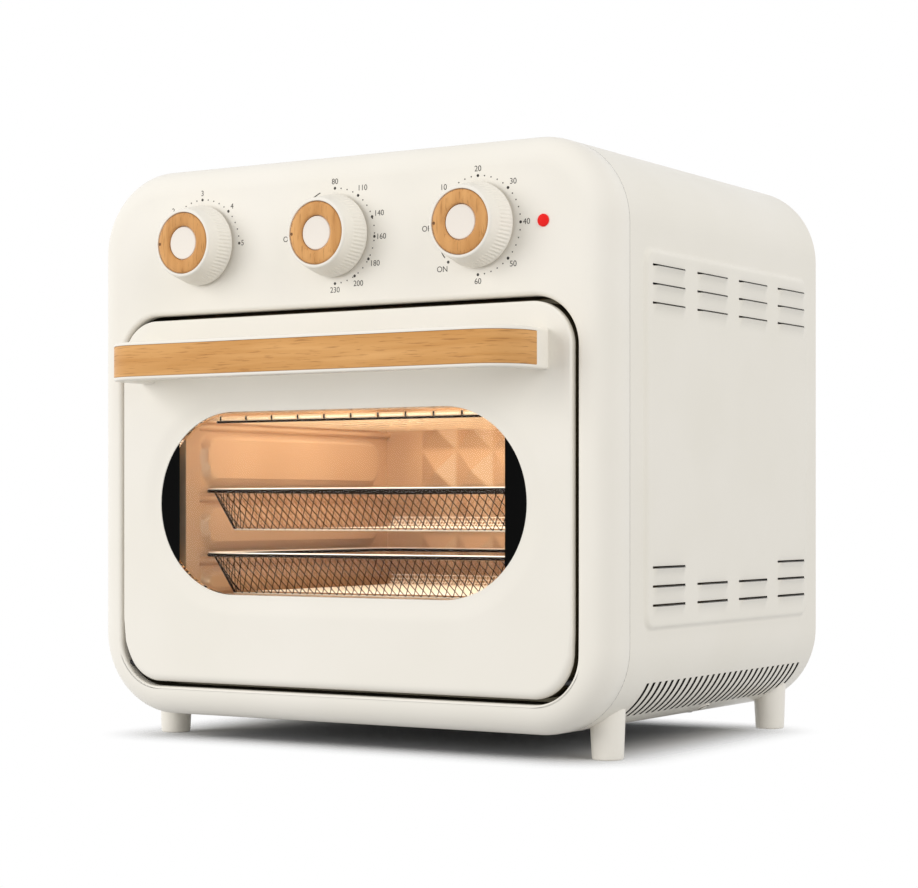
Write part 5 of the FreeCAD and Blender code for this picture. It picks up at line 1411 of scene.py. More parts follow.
@dataclass
class Dial(Assembly):
    """One dial: ribbed knob, wooden ring, centre cap, pointer and its printed scale."""

    name: str = "timer"
    ribs: int = 64
    rib_depth: float = 0.4 * MM
    rib_reach: float = 0.62
    rib_start: float = 2.4 * MM
    rib_rows: int = 12
    rib_fade: float = 0.3
    bore_radius: float = 4 * MM
    base_radius: float = 24 * MM
    base_step: float = 1.8 * MM
    base_rise: float = 0.8 * MM
    base_edge: float = 0.2 * MM
    base_height: float = 2.0 * MM
    face_radius: float = 20.6 * MM
    face_round: float = 1.4 * MM
    face_height: float = 2.2 * MM
    taper_ends: float = 3.6 * MM
    skirt_end: float = 1 * MM
    ring_outer: float = 18.25 * MM
    ring_inner: float = 10.1 * MM
    ring_depth: float = 3.0 * MM
    ring_gap: float = 0.3 * MM
    ring_sink: float = 0.7 * MM
    ring_crown: float = 1.26 * MM
    ring_bevel: tuple[float, float] = (0.25 * MM, 0.4 * MM)
    cap_sink: float = 0.9 * MM
    cap_edge: float = 0.8 * MM
    cap_dish: float = 0.35 * MM
    cap_rim: float = 1.2 * MM
    pointer_radius: float = 0.9 * MM
    pointer_shift: float = 2.2 * MM
    pointer_lift: float = 0.45 * MM
    dot_circle: float = 27.6 * MM
    dot_sides: int = 20
    large_dot: float = 0.85 * MM
    small_dot: float = 0.42 * MM
    arc_half: float = 0.3 * MM
    arc_points: int = 24
    letter_size: float = 4.6 * MM
    letter_gap: float = 1.6 * MM
    letter_half: float = 2.2 * MM
    print_lift: float = 0.06 * MM
    labels: tuple[tuple[float, str], ...] = ()
    small_dots: tuple[float, ...] = ()
    arcs: tuple[tuple[float, float], ...] = ()

    def build(self) -> None:
        """Builds and dresses the dial and its scale."""
        body = self.name + "_dial"
        self.dress(self.knob(), Finishes.CREAM, body, "cream_plastic", self.name + "_knob")
        self.dress(self.ring(), Finishes.RING_WOOD, body, "wood", self.name + "_knob_ring")
        self.dress(self.cap(), Finishes.CAP, body, "cream_plastic", self.name + "_knob_cap")
        self.dress(self.pointer(), Finishes.POINTER, body, "black_print")
        self.dress(self.scale(), Finishes.PRINT, "housing", "black_print")
        self.paint(Finishes.STEEL, self.name + "_shaft")

    def _axis(self) -> Triple:
        """Point on the knob's axis at its back."""
        middle = middle_of(self.name + "_knob")
        return (middle[0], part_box(self.name + "_knob")[1][1], middle[2])

    def _length(self) -> float:
        """Knob's length from its back to its face."""
        low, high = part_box(self.name + "_knob")
        return high[1] - low[1]

    def knob(self) -> Piece:
        """Knob body: a tapered turning, its skirt drawn in by a cosine of the rib count times the angle.

        Returns:
            The knob.
        """
        length, sides, base = self._length(), 8 * self.ribs, self.base_radius
        rise = np.linspace(self.rib_start, length * self.rib_reach, self.rib_rows)
        slope = (base - self.face_radius) / (length - self.taper_ends)
        skirt = stacked(base - slope * (rise - self.base_height), rise)
        t = np.linspace(0, QUARTER, 7)
        shoulder = stacked(self.face_radius - self.face_round + self.face_round * np.cos(t),
                           length - self.face_height + self.face_height * np.sin(t))
        foot = np.array([[self.bore_radius, 0.0], [base - self.base_step, 0.0],
                         [base - self.base_step, self.base_rise], [base - self.base_edge, self.base_rise],
                         [base, self.base_height]])
        outer, floor = self.ring_outer, length - self.ring_depth
        recess = [[outer + self.ring_bevel[0], length], [outer, length - self.ring_bevel[1]],
                  [outer, floor], [AXIS_RADIUS, floor]]
        above = [[skirt[-1, 0] - slope * self.skirt_end, skirt[-1, 1] + self.skirt_end]]
        profile = np.vstack([foot, skirt, above, shoulder, recess])
        on_skirt = np.zeros(len(profile))
        on_skirt[len(foot):len(foot) + len(skirt)] = 1
        on_skirt[[len(foot), len(foot) + len(skirt) - 1]] = self.rib_fade
        angle = full_turn(sides)
        wave = 0.5 - 0.5 * np.cos(self.ribs * angle)
        grid = np.repeat(profile[:, None], sides, axis=1)
        grid[..., 0] -= self.rib_depth * on_skirt[:, None] * wave[None]
        return surface(self.name + "_ribbed_knob", turned(grid, self._axis(), sides), wrap_columns=True)

    def ring(self) -> Piece:
        """Wooden ring: a low crowned arc between its outer and inner edge, turned round the axis.

        Returns:
            The ring.
        """
        base, outer = self._length() - self.ring_depth, self.ring_outer - self.ring_gap
        t = np.linspace(0, 1, 16)
        arch = np.sqrt(np.clip(1 - (2 * t - 1) ** 2, 0, 1))
        crown = self._length() - self.ring_sink + self.ring_crown * arch
        top = stacked(outer + (self.ring_inner - outer) * t, crown)
        profile = np.vstack([[[outer, base]], top, [[self.ring_inner, base]]])
        rows = turned(profile, self._axis(), 96)
        return surface(self.name + "_wood_ring", rows, wrap_rows=True, wrap_columns=True)

    def cap(self) -> Piece:
        """Centre cap: a shallow dish with an eased rim, below the ring's crown.

        Returns:
            The cap.
        """
        base, top = self._length() - self.ring_depth, self._length() - self.cap_sink
        r, edge = self.ring_inner - self.ring_gap, self.cap_edge
        t = np.linspace(0, QUARTER, 6)
        rim = stacked(r - edge + edge * np.cos(t), top - edge + edge * np.sin(t))
        dish = np.linspace(r - self.cap_rim, AXIS_RADIUS, 10)
        centre = stacked(dish, top - self.cap_dish * (1 - (dish / r) ** 2))
        profile = np.vstack([[[AXIS_RADIUS, base], [r, base]], rim, centre])
        return surface(self.name + "_centre_cap", turned(profile, self._axis(), 64), wrap_columns=True)

    def _disc(self, x: Array, z: Array, radius: Array, y: float) -> tuple[Array, Array]:
        """Flat dots: rings of points round each centre.

        Args:
            x: centres' X.
            z: centres' Z.
            radius: dots' radii.
            y: depth of the dots.

        Returns:
            Points and fan triangles.
        """
        sides = self.dot_sides
        angle = full_turn(sides)
        spread = np.stack([np.append(0, np.cos(angle)), np.append(0, np.sin(angle))])
        disc_x, disc_z = (centre[:, None] + radius[:, None] * way for centre, way in zip((x, z), spread))
        points = stacked(disc_x, y, disc_z)
        rim = np.arange(sides)
        fan = stacked(np.zeros(sides, int), 1 + rim, 1 + (rim + 1) % sides)
        return points, fan[None] + (np.arange(len(x)) * (sides + 1))[:, None, None]

    def pointer(self) -> Piece:
        """Dark pointer dot on the ring, at nine o'clock.

        Returns:
            The dot.
        """
        axis = self._axis()
        radius = (self.ring_outer + self.ring_inner) / 2 + self.pointer_shift
        y = axis[1] - self._length() - self.pointer_lift
        points, faces = self._disc(np.array([axis[0] - radius]), np.array([axis[2]]),
                                   np.array([self.pointer_radius]), y)
        return mesh_object(self.name + "_pointer", points, faces, weld=False)

    def _around(self, clock: Array, radius: Array | float) -> tuple[Array, Array]:
        """Places round the dial: clock degrees run clockwise from nine o'clock.

        Args:
            clock: clock degrees.
            radius: distance from the axis.

        Returns:
            X, and Z.
        """
        axis = self._axis()
        angle = math.pi - np.radians(clock)
        return axis[0] + radius * np.cos(angle), axis[2] + radius * np.sin(angle)

    def scale(self) -> Piece:
        """Printed scale: large dots with their words, small dots and thin arcs, joined in one mesh.

        Returns:
            The print.
        """
        y = self.layout.face_y - self.print_lift
        large = np.array([clock for clock, _ in self.labels])
        small = np.array(self.small_dots)
        radii = np.append(np.full(len(large), self.large_dot), np.full(len(small), self.small_dot))
        parts = [self._disc(*self._around(np.append(large, small), self.dot_circle), radii, y)]
        for start, end in self.arcs:
            clock = np.linspace(start, end, self.arc_points)[:, None]
            x, z = self._around(clock, self.dot_circle + np.array([[-1.0, 1.0]]) * self.arc_half)
            quads = grid_faces(self.arc_points, 2, False, False).reshape(-1, 4)
            triangles = np.vstack([quads[:, :3], quads[:, [0, 2, 3]]])
            parts.append((stacked(x, y, z), triangles))
        parts += [self._word(word, clock, y) for clock, word in self.labels]
        points = [p.reshape(-1, 3) for p, _ in parts]
        starts = np.cumsum([0] + [len(p) for p in points[:-1]])
        faces = np.vstack([f.reshape(-1, 3) + first for (_, f), first in zip(parts, starts)])
        return mesh_object(self.name + "_scale", np.vstack(points), faces, weld=False)

    def _word(self, word: str, clock: float, y: float) -> tuple[Array, Array]:
        """Flat lettering beside a dot, set outwards from the dial.

        Args:
            word: number, ON or OFF.
            clock: clock degrees from nine o'clock.
            y: depth of the print.

        Returns:
            Points and triangles.
        """
        curve = bpy.data.curves.new("lettering", "FONT")
        curve.body = word
        curve.size = self.letter_size
        curve.align_x, curve.align_y = "CENTER", "CENTER"
        holder = bpy.data.objects.new("lettering", curve)
        bpy.context.scene.collection.objects.link(holder)
        bpy.context.view_layer.update()
        mesh = bpy.data.meshes.new_from_object(holder.evaluated_get(bpy.context.evaluated_depsgraph_get()))
        bpy.data.objects.remove(holder)
        flat = np.zeros(len(mesh.vertices) * 3)
        mesh.vertices.foreach_get("co", flat)
        flat = flat.reshape(-1, 3)
        mesh.calc_loop_triangles()
        faces = np.zeros(len(mesh.loop_triangles) * 3, dtype=int)
        mesh.loop_triangles.foreach_get("vertices", faces)
        bpy.data.meshes.remove(mesh)
        bpy.data.curves.remove(curve)
        width = flat[:, 0].max() - flat[:, 0].min()
        away = math.radians(clock)
        beside, above = abs(math.cos(away)) * width / 2, abs(math.sin(away)) * self.letter_half
        x, z = self._around(clock, self.dot_circle + self.letter_gap + beside + above)
        points = stacked(flat[:, 0] + x, y, flat[:, 1] + z)
        return points, faces.reshape(-1, 3)


@dataclass
class Cavity(Assembly):
    """Oven cavity: pressed side walls, pyramid back and the plain sheets and elements."""

    field_depth: float = 5 * MM
    field_bevel: float = 3.5 * MM
    field_low_bevel: float = 10 * MM
    field_gap: float = 1.5 * MM
    field_corner: float = 12 * MM
    field_foot: float = 20 * MM
    margin: float = 14 * MM
    rail_radius: float = 4 * MM
    rail_reach: float = 3 * MM
    rail_swell: float = 2.4 * MM
    rail_drop: float = 4 * MM
    rail_band: float = 6 * MM
    rim_radius: float = 2.31 * MM
    liner: float = 0.8 * MM
    pyramid_pitch: float = 29 * MM
    pyramid_base: float = 27 * MM
    pyramid_height: float = 5 * MM
    pyramid_margin: float = 25 * MM
    pyramid_top: float = 0.94
    pyramid_sharp: float = 60.0
    frame_bright: float = 8 * MM
    frame_fade: float = 1 * MM
    frame_wide: float = 22 * MM
    frame_shade_colour: str = "A89F86"

    def build(self) -> None:
        """Builds and dresses the cavity."""
        for side, sign in (("left", -1.0), ("right", 1.0)):
            node = "cavity_wall_" + side
            self.dress(self.side_wall(node, sign), Finishes.LINER, "housing", "liner_steel", node)
        self.dress(self.back(), Finishes.LINER, "housing", "liner_steel", "cavity_back")
        self.paint(Finishes.LINER, "cavity_floor", "cavity_ceiling", "crumb_tray", "fan_guard")
        self.repaint("cavity_frame", self.frame_material())
        self.paint(Finishes.HEATER, "upper_heater", "lower_heaters")
        self.paint(Finishes.CERAMIC, "heater_ends")

    def frame_material(self) -> bpy.types.Material:
        """Liner steel round the cavity's mouth, turning to a greyer painted shade behind the door's edge,
        where the gap is in shade.

        Returns:
            Material whose mask is the larger of the distances past the mouth across and up.
        """
        material = replace(Finishes.LINER, name="frame_steel_painted_shade").build(self.finishes.groups)
        tree = material.node_tree
        low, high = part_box("cavity_back")
        place = new_node(tree, "TexCoord").outputs["Object"]
        parts = new_node(tree, "SeparateXYZ", {"Vector": place}).outputs
        spans = (("X", 0.0, high[0] + self.frame_wide - self.frame_bright),
                 ("Z", (low[2] + high[2]) / 2, (high[2] - low[2]) / 2))
        past = []
        for axis, middle, half in spans:
            reach = calculated(tree, "ABSOLUTE", calculated(tree, "SUBTRACT", parts[axis], middle))
            past.append(calculated(tree, "SUBTRACT", reach, half))
        mask = new_node(tree, "MapRange", {"From Min": self.frame_bright,
                                           "From Max": self.frame_bright + self.frame_fade,
                                           "Value": calculated(tree, "MAXIMUM", *past)})
        # Painted shade: past the mouth by more than frame_bright, the liner colour turns to a greyer shade
        # colour behind the door's gap.
        shader = tree.nodes["Principled BSDF"]
        steel = shader.inputs["Base Color"].links[0].from_socket
        colour = Finish.mix(tree, mask.outputs["Result"], steel, self.frame_shade_colour)
        feed(tree, shader, {"Base Color": colour})
        return material

    def _rails(self) -> Array:
        """Heights of the rails that carry the rack and the baskets."""
        rims = np.array([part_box(n)[1][2] for n in ("wire_rack", "upper_basket_rim", "lower_basket_rim")])
        return rims - self.rim_radius - self.rail_drop

    def side_wall(self, node: str, sign: float) -> Piece:
        """Side wall: fields pressed inward with eased bevels between half-round rails.

        Args:
            node: the wall's node.
            sign: -1 for the left wall, 1 for the right one.

        Returns:
            The walled sheet.
        """
        low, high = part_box(node)
        wall_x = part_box("wire_rack")[1][0] - self.rim_radius + self.rail_radius
        rails = self._rails()
        near_rails = (rails[:, None] + np.linspace(-1, 1, 13) * self.rail_band).ravel()
        z = np.unique(np.concatenate([np.linspace(low[2], high[2], 110), near_rails]))
        grid_y, grid_z = np.meshgrid(np.linspace(low[1], high[1], 120), z)
        limits = np.concatenate([[high[2]], rails, [low[2] + self.field_foot]])
        half_y = (high[1] - low[1]) / 2 - self.margin
        reach_y = np.abs(grid_y - (low[1] + high[1]) / 2) - half_y + self.field_corner
        relief = np.zeros_like(grid_y)
        for top, bottom in zip(limits[:-1], limits[1:]):
            lower, upper = bottom + self.rail_radius + self.field_gap, top - self.rail_swell - self.field_gap
            middle_z, half_z = (lower + upper) / 2, (upper - lower) / 2
            reach_z = np.abs(grid_z - middle_z) - half_z + self.field_corner
            fall = np.clip((middle_z - grid_z) / half_z, 0, 1)
            bevel = self.field_bevel + (self.field_low_bevel - self.field_bevel) * fall
            inside = self.field_corner - past_box(reach_y, reach_z)
            relief += self.field_depth * smooth_step(inside / bevel)
        off = np.abs(grid_z[None] - rails[:, None, None]) / self.rail_swell
        ridge = (self.rail_reach * np.sqrt(np.clip(1 - off ** 2, 0, 1))).max(axis=0)
        points = stacked(sign * (wall_x - np.maximum(relief, ridge)), grid_y, grid_z)
        sheet = face_along(surface("pressed_" + node, points), (-sign, 0, 0))
        return thickened(sheet, self.liner)

    def back(self) -> Piece:
        """Back sheet: pyramids that fall evenly with the larger of the two distances from their middle.

        Returns:
            The walled sheet.
        """
        low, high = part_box("cavity_back")
        pitch, middle_z = self.pyramid_pitch, (low[2] + high[2]) / 2
        grid_x, grid_z = np.meshgrid(np.linspace(low[0], high[0], 220), np.linspace(low[2], high[2], 160))
        columns = int((high[0] - low[0] - 2 * self.pyramid_margin) / pitch)
        rows = int((high[2] - low[2]) / pitch)
        shift_x, shift_z = (columns % 2 == 0) / 2, (rows % 2 == 0) / 2
        cells = np.stack([grid_x / pitch + shift_x, (grid_z - middle_z) / pitch + shift_z])
        off = np.abs(cells - np.round(cells)).max(axis=0)
        inside = (np.abs(grid_x) < columns / 2 * pitch) & (np.abs(grid_z - middle_z) < rows / 2 * pitch)
        slope = 1 - off * 2 * pitch / self.pyramid_base
        height = self.pyramid_height * np.clip(slope, 0, self.pyramid_top) * inside
        points = stacked(grid_x, high[1] - self.liner - height, grid_z)
        sheet = face_along(surface("pyramid_back", points, sharp_degrees=self.pyramid_sharp), (0, -1, 0))
        return thickened(sheet, self.liner, self.pyramid_sharp)


@dataclass
class Shelves(Assembly):
    """Wire rack and two mesh baskets."""

    rim_radius: float = 2.31 * MM
    rim_wire: float = 1.05 * MM
    rim_corner: float = 18 * MM
    least_corner: float = 3 * MM
    # Radius of the thin wire above each rim that is a painted highlight line.
    highlight_wire: float = 0.45 * MM
    rack_wire: float = 1.4 * MM
    tie_radius: float = 1.6 * MM
    tie_length: float = 1.2 * MM
    under_wire: float = 0.7 * MM
    cross_radius: float = 1.5 * MM
    cross_gap: float = 0.3 * MM
    cross_count: int = 12
    net_radius: float = 0.28 * MM
    net_pitch: float = 5.5 * MM
    net_lean: float = 0.62
    net_inset: float = 3.5 * MM
    net_drop: float = 0.6
    front_band: float = 10 * MM
    rear_lift: float = 1 * MM
    edge_wire: float = 0.5 * MM
    floor_pitch: float = 2.4 * MM
    floor_margin: float = 2 * MM
    floor_cove: float = 8 * MM
    cove_turn: float = 0.45 * math.pi
    depth: float = 24 * MM
    taper: float = 12 * MM

    def build(self) -> None:
        """Builds and dresses the rack and the baskets."""
        self.dress(self.rack(), Finishes.RACK, "rack", "wire_steel", "wire_rack")
        # Painted shade: dark ties on the rack's front bar and a dark wire under it.
        self.dress(self.ties(), Finishes.SHADE_WIRE, "rack", "wire_steel", "wire_rack")
        # Painted light: the thin near-white wire above each rim is a painted highlight line; the rims and
        # front nets are painted shade, the rear nets a half-lit copy and the floor nets a painted glow.
        lift = self.rim_wire + self.highlight_wire / 2
        for level in ("upper", "lower"):
            body = level + "_basket"
            rim, net = body + "_rim", body + "_net"
            pieces = ((self.rim(body + "_rim_wire", rim, self.rim_wire), Finishes.SHADE_WIRE, rim),
                      (self.rim(body + "_rim_highlight", rim, self.highlight_wire, lift), Finishes.NET, rim),
                      (self.net_sides(body + "_front_net", rim, True), Finishes.SHADE_WIRE, net),
                      (self.net_sides(body + "_rear_net", rim, False), Finishes.REAR_NET, net),
                      (self.net_floor(body + "_floor_net", rim), Finishes.NET, net))
            for piece, finish, node in pieces:
                self.dress(piece, finish, body, "wire_steel", node)

    def _loop(self, node: str, inset: float = 0.0, drop: float = 0.0) -> Array:
        """Round-cornered loop at a rim's height: corner centres plus radius times cosine and sine.

        Args:
            node: the rack or a rim.
            inset: how far in it lies.
            drop: how far below it lies.

        Returns:
            Points by 3.
        """
        low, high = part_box(node)
        edge = self.rim_radius + inset
        corner = max(self.rim_corner - inset, self.least_corner)
        angle = np.radians([0, 90, 180, 270])[:, None] + np.linspace(0, QUARTER, 10)
        sign_x, sign_y = np.array([1, -1, -1, 1])[:, None], np.array([1, 1, -1, -1])[:, None]
        middle_y = (low[1] + high[1]) / 2
        x = sign_x * (high[0] - edge - corner) + corner * np.cos(angle)
        y = middle_y + sign_y * ((high[1] - low[1]) / 2 - edge - corner) + corner * np.sin(angle)
        return stacked(x.ravel(), y.ravel(), (low[2] + high[2]) / 2 - drop)

    def rim(self, name: str, node: str, radius: float, lift: float = 0.0) -> Piece:
        """Wire of a radius round a basket, lifted from its rim's height."""
        points = tubes(self._loop(node, drop=-lift)[None], radius, 14, closed=True)[0]
        return surface(name, points, wrap_rows=True, wrap_columns=True)

    def rack(self) -> Piece:
        """Rack: rim wire and straight cross wires from front to back, joined in one mesh.

        Returns:
            The rack.
        """
        low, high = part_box("wire_rack")
        rim = tubes(self._loop("wire_rack")[None], self.rack_wire, 14, closed=True)
        x = self._cross_places()
        y = np.linspace(low[1] + self.cross_gap, high[1] - self.cross_gap, 3)
        paths = stacked(x[:, None], y, (low[2] + high[2]) / 2)
        return wire_object("rack_wires", (rim, True), (tubes(paths, self.cross_radius, 10), False))

    def _cross_places(self) -> Array:
        """Places of the rack's cross wires along its front bar."""
        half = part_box("wire_rack")[1][0] - self.rim_radius
        return np.linspace(-half, half, self.cross_count + 2)[1:-1]

    def ties(self) -> Piece:
        """Ties of painted shade where the cross wires meet the rack's front bar, and a thin wire of painted
        shade under that bar.

        Returns:
            The ties and the wire.
        """
        low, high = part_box("wire_rack")
        y, z = low[1] + self.rim_radius, (low[2] + high[2]) / 2
        t = np.array([-0.5, 0.0, 0.5])
        along = self._cross_places()[:, None] + self.tie_length * t
        reach = 2 * (high[0] - self.rim_corner) * t[None]
        ties, under = (stacked(x, y, height)
                       for x, height in ((along, z), (reach, z - self.rack_wire - self.under_wire)))
        return wire_object("rack_ties", (tubes(ties, self.tie_radius, 12), False),
                           (tubes(under, self.under_wire, 12), False))

    def net_sides(self, name: str, node: str, front: bool) -> Piece:
        """Mesh walls: two families of leaning wires round the basket, and the wire round its floor.

        A wire's place along the loop is its start plus or minus its lean times its height. Its point lies
        between the floor's loop and the rim's loop at that place.

        Args:
            name: piece's name.
            node: the basket's rim.
            front: gives the wires near the front, or else the other wires.

        Returns:
            The net of the front, or of the other sides, with round corners.
        """
        top = self._loop(node, self.net_inset, self.rim_radius * self.net_drop)
        bottom = self._loop(node, self.net_inset + self.taper, self.depth - self.net_radius)
        ring, floor = (np.vstack([loop, loop[:1]]) for loop in (top, bottom))
        along = np.concatenate([[0.0], np.cumsum(np.linalg.norm(np.diff(ring, axis=0), axis=1))])
        count = int(along[-1] / self.net_pitch)
        rise = np.linspace(0.0, 1.0, 5)
        start = (np.arange(count) * along[-1] / count)[None, :, None]
        lean = np.array([-1.0, 1.0])[:, None, None] * self.net_lean * self.depth
        place = ((start + lean * rise) % along[-1]).reshape(-1, len(rise))
        upper, lower = (np.stack([np.interp(place, along, axis) for axis in loop.T], axis=-1)
                        for loop in (ring, floor))
        paths = lower + (upper - lower) * rise[None, :, None]
        near = paths[:, 0, 1] < bottom[:, 1].min() + self.front_band
        edge = bottom + np.array([0.0, 0.0, 0.0 if front else self.rear_lift])
        return wire_object(name, (tubes(paths[near == front], self.net_radius, 5), False),
                           (tubes(edge[None], self.edge_wire, 6, closed=True), True))

    def net_floor(self, name: str, node: str) -> Piece:
        """Mesh floor: wires across and along at an even pitch, with a cove at the back and a border wire.

        Args:
            name: piece's name.
            node: the basket's rim.

        Returns:
            The floor's net.
        """
        border = self._loop(node, self.net_inset + self.taper, self.depth - self.net_radius)
        low, high = border.min(axis=0), border.max(axis=0)
        turn = np.linspace(0, self.cove_turn, 5)
        cove_y = high[1] - self.floor_cove + self.floor_cove * np.sin(turn)
        cove_z = low[2] + self.floor_cove * (1 - np.cos(turn))
        y = np.concatenate([np.linspace(low[1], cove_y[0], 3)[:-1], cove_y])
        z = np.concatenate([np.full(2, low[2]), cove_z])
        count = int((high[0] - low[0]) / self.floor_pitch)
        step = np.linspace(low[0] + self.floor_margin, high[0] - self.floor_margin, count)
        along = stacked(step[:, None], y, z)
        rows = np.concatenate([np.arange(y[0] + self.floor_margin, cove_y[0], self.floor_pitch), cove_y])
        heights = np.interp(rows, y, z) + self.net_radius
        x = np.linspace(low[0], high[0], len(y))
        across = stacked(x, rows[:, None], heights[:, None])
        return wire_object(name, (tubes(np.concatenate([along, across]), self.net_radius, 4), False),
                           (tubes(border[None], self.edge_wire, 6, closed=True), True))


@dataclass
class Works(Assembly):
    """Fan, motor and controls behind the cavity and the bezel."""

    def build(self) -> None:
        """Dresses the inner nodes."""
        self.paint(Finishes.ZINC, "control_bracket", "motor_bracket", "fan_shroud")
        self.paint(Finishes.STEEL, "fan_shaft", "bracket_screws")
        self.paint(Finishes.ALUMINIUM, "fan_impeller")
        self.paint(Finishes.IRON, "fan_motor")
        self.paint(Finishes.CONTROL, "function_switch", "thermostat", "timer", "power_lamp_holder")


@dataclass
class Studio:
    """Floor, lights and camera."""

    layout: Layout
    camera_side: float = 769.7 * MM
    camera_front: float = 1100.4 * MM
    camera_height: float = 140.85 * MM
    view_turn: float = 31.9065
    focal_pixels: float = 2315.91
    image_width: float = 918.0
    horizon_row: float = 508.21
    middle_row: float = 444.0
    sensor: float = 36.0
    floor_half: float = 6.0
    painted_shadow_grey: float = 0.6
    floor_roughness: float = 0.9
    fade_inset: float = 0.045
    fade_reach: float = 0.065
    world_light: float = 0.52
    lamp_size: float = 1.6
    key_place: Triple = (-1.5, -2.0, 0.8)
    key_target: Triple = (0.0, -0.05, 0.17)
    key_watts: float = 37.0
    fill_place: Triple = (2.0, -0.6, 1.2)
    fill_target: Triple = (0.0, 0.0, 0.17)
    fill_watts: float = 22.0
    oven_size: tuple[float, float] = (0.22, 0.18)
    oven_colour: Triple = (1.0, 0.88, 0.72)
    oven_top_gap: float = 4 * MM
    oven_top_watts: float = 0.61
    oven_front_gap: float = 2 * MM
    oven_front_watts: float = 0.13

    def build(self) -> None:
        """Builds the studio."""
        bpy.context.scene.view_settings.view_transform = "Standard"
        self.world()
        self.floor()
        self.lamp("key", self.key_place, self.key_target, self.key_watts)
        self.lamp("fill", self.fill_place, self.fill_target, self.fill_watts)
        self.oven_light()
        self.camera()

    def world(self) -> None:
        """White surroundings: full white where they are seen or mirrored, softer where they light."""
        world = bpy.data.worlds.new("studio")
        world.use_nodes = True
        bpy.context.scene.world = world
        tree = world.node_tree
        path = new_node(tree, "LightPath").outputs
        seen = calculated(tree, "MAXIMUM", path["Is Camera Ray"], path["Is Transmission Ray"])
        full = calculated(tree, "MAXIMUM", seen, path["Is Glossy Ray"])
        strength = new_node(tree, "MapRange", {"To Min": self.world_light, "To Max": 1.0, "Value": full})
        feed(tree, tree.nodes["Background"], {"Color": (1.0, 1.0, 1.0, 1.0),
                                              "Strength": strength.outputs["Result"]})

    def floor(self) -> None:
        """Floor: a wide level grid, mid grey round the oven's footprint and fading to clear beyond it, so
        the grey patch is a painted shadow under the oven.
        """
        t = np.linspace(-self.floor_half, self.floor_half, 3)
        x, y = np.meshgrid(t, t)
        floor = surface("studio_floor", stacked(x, y, 0.0))
        face_along(floor, (0, 0, 1))
        material = bpy.data.materials.new("studio_floor")
        material.use_nodes = True
        tree = material.node_tree
        front, rear = self.layout.face_y, self.layout.rear_y
        half = (self.layout.half - self.fade_inset, (rear - front) / 2 - self.fade_inset, 1.0)
        steps = (("SUBTRACT", (0.0, (front + rear) / 2, 0.0)), ("ABSOLUTE",), ("SUBTRACT", half),
                 ("MAXIMUM", (0.0, 0.0, 0.0)))
        place = new_node(tree, "TexCoord").outputs["Object"]
        for operation, *values in steps:
            place = calculated(tree, operation, place, *values, kind="VectorMath", output="Vector")
        away = calculated(tree, "LENGTH", place, kind="VectorMath")
        # Painted shadow: the mid grey floor shows only near the footprint and fades out within fade_reach, a
        # dark patch under the oven.
        fade = new_node(tree, "MapRange", {"From Min": 0.0, "From Max": self.fade_reach, "To Min": 1.0,
                                           "To Max": 0.0, "Value": away}, interpolation_type="SMOOTHSTEP")
        feed(tree, tree.nodes["Principled BSDF"], {
            "Base Color": (self.painted_shadow_grey, self.painted_shadow_grey, self.painted_shadow_grey, 1.0),
            "Roughness": self.floor_roughness, "Specular IOR Level": 0.0, "Alpha": fade.outputs["Result"]})
        floor.data.materials.append(material)

    @staticmethod
    def area_lamp(name: str, place: Triple, turn: Triple | Euler, size: tuple[float, float],
                  watts: float) -> Piece:
        """Area lamp that is neither seen nor mirrored.

        Args:
            name: lamp's name.
            place: where it stands.
            turn: its turn about X, Y and Z.
            size: edge lengths in metres.
            watts: its power.

        Returns:
            The lamp.
        """
        light = bpy.data.lights.new(name, "AREA")
        light.shape = "RECTANGLE"
        light.size, light.size_y = size
        light.energy = watts
        lamp = bpy.data.objects.new(name, light)
        lamp.location, lamp.rotation_euler = place, turn
        lamp.visible_camera = lamp.visible_glossy = False
        bpy.context.scene.collection.objects.link(lamp)
        return lamp

    def lamp(self, name: str, place: Triple, target: Triple, watts: float) -> None:
        """Soft square lamp aimed at a point."""
        turn = (Vector(target) - Vector(place)).to_track_quat("-Z", "Y").to_euler()
        self.area_lamp(name, place, turn, (self.lamp_size, self.lamp_size), watts)

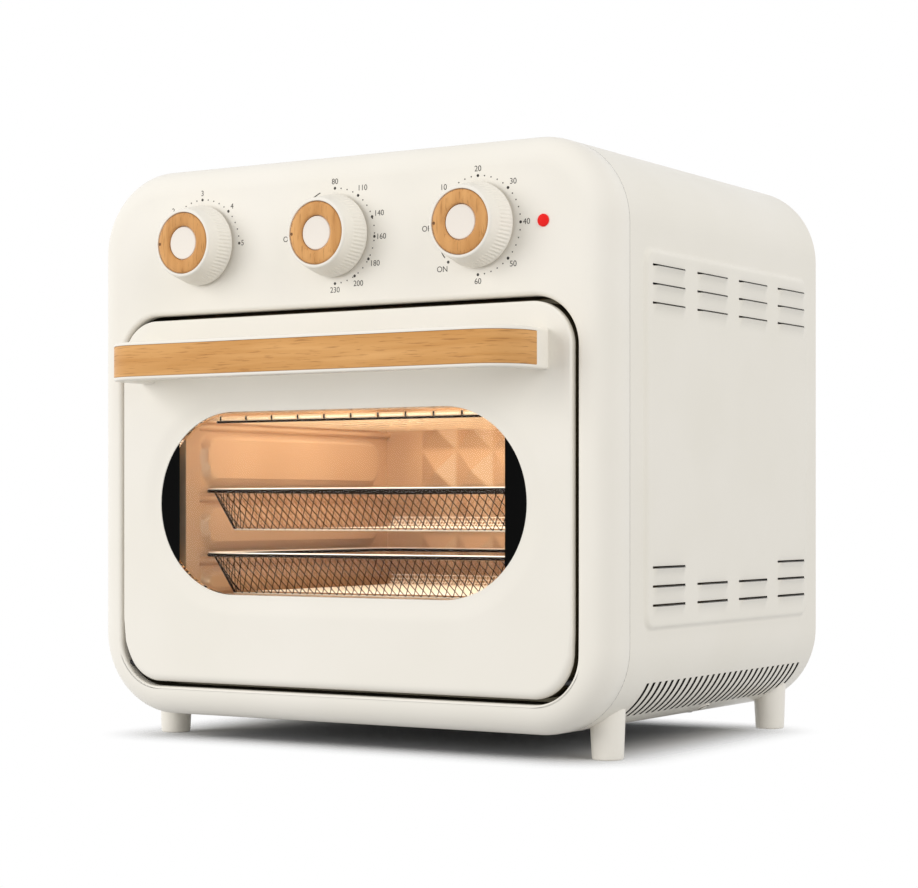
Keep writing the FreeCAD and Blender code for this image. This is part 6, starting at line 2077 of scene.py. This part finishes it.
    def oven_light(self) -> None:
        """Warm light under the cavity's ceiling and behind the door, seen only by what it lights."""
        low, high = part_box("cavity_ceiling")
        top = (0.0, (low[1] + high[1]) / 2, low[2] - self.oven_top_gap)
        front = (0.0, low[1] + self.oven_front_gap, (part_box("cavity_back")[0][2] + low[2]) / 2)
        for name, place, tilt, watts in (("oven_top_light", top, 0.0, self.oven_top_watts),
                                         ("oven_front_light", front, QUARTER, self.oven_front_watts)):
            lamp = self.area_lamp(name, place, (tilt, 0.0, 0.0), self.oven_size, watts)
            lamp.data.color = self.oven_colour
            lamp.visible_transmission = False

    def camera(self) -> None:
        """Camera at the photograph's place, level, with the photograph's framing as its shift."""
        data = bpy.data.cameras.new("view")
        data.sensor_width = self.sensor
        data.lens = self.focal_pixels * self.sensor / self.image_width
        data.shift_y = (self.horizon_row - self.middle_row) / self.image_width
        camera = bpy.data.objects.new("view", data)
        camera.location = (self.camera_side, self.layout.face_y - self.camera_front, self.camera_height)
        camera.rotation_euler = (QUARTER, 0.0, math.radians(self.view_turn))
        bpy.context.scene.collection.objects.link(camera)
        bpy.context.scene.camera = camera


def dials(layout: Layout, finishes: Finishes) -> list[Dial]:
    """The three dials with their scales, in clock degrees from nine o'clock.

    Args:
        layout: the oven's layout.
        finishes: the oven's finishes.

    Returns:
        Function, temperature and timer dial.
    """
    programmes = tuple((i * 45.0, str(i + 1)) for i in range(5))
    degrees = ((0.0, "OFF"), (90.0, "80"), (126.0, "110"), (160.0, "140"), (184.0, "160"), (212.0, "180"),
               (240.0, "200"), (270.0, "230"))
    minutes = ((-45.0, "ON"), (0.0, "OFF")) + tuple((45.0 * i, str(10 * i)) for i in range(1, 7))
    scales = (("function", programmes, [dot for dot in range(0, 181, 9) if dot % 45], ()),
              ("temperature", degrees, range(99, 268, 9), ((38.0, 68.0),)),
              ("timer", minutes, range(9, 268, 9), ((-38.0, -8.0),)))
    return [Dial(layout, finishes, name, labels=labels, small_dots=tuple(dots), arcs=arcs)
            for name, labels, dots, arcs in scales]


def main() -> None:
    """Builds the oven's sub-assemblies in order, then the studio."""
    logging.basicConfig(level=logging.INFO, format="%(message)s")
    layout = Layout.read()
    finishes = Finishes()
    assemblies = [kind(layout, finishes) for kind in (Casing, Door, Cavity, Shelves, Works)]
    for assembly in assemblies + dials(layout, finishes):
        assembly.build()
    Studio(layout).build()


if __name__ == "__main__":
    main()
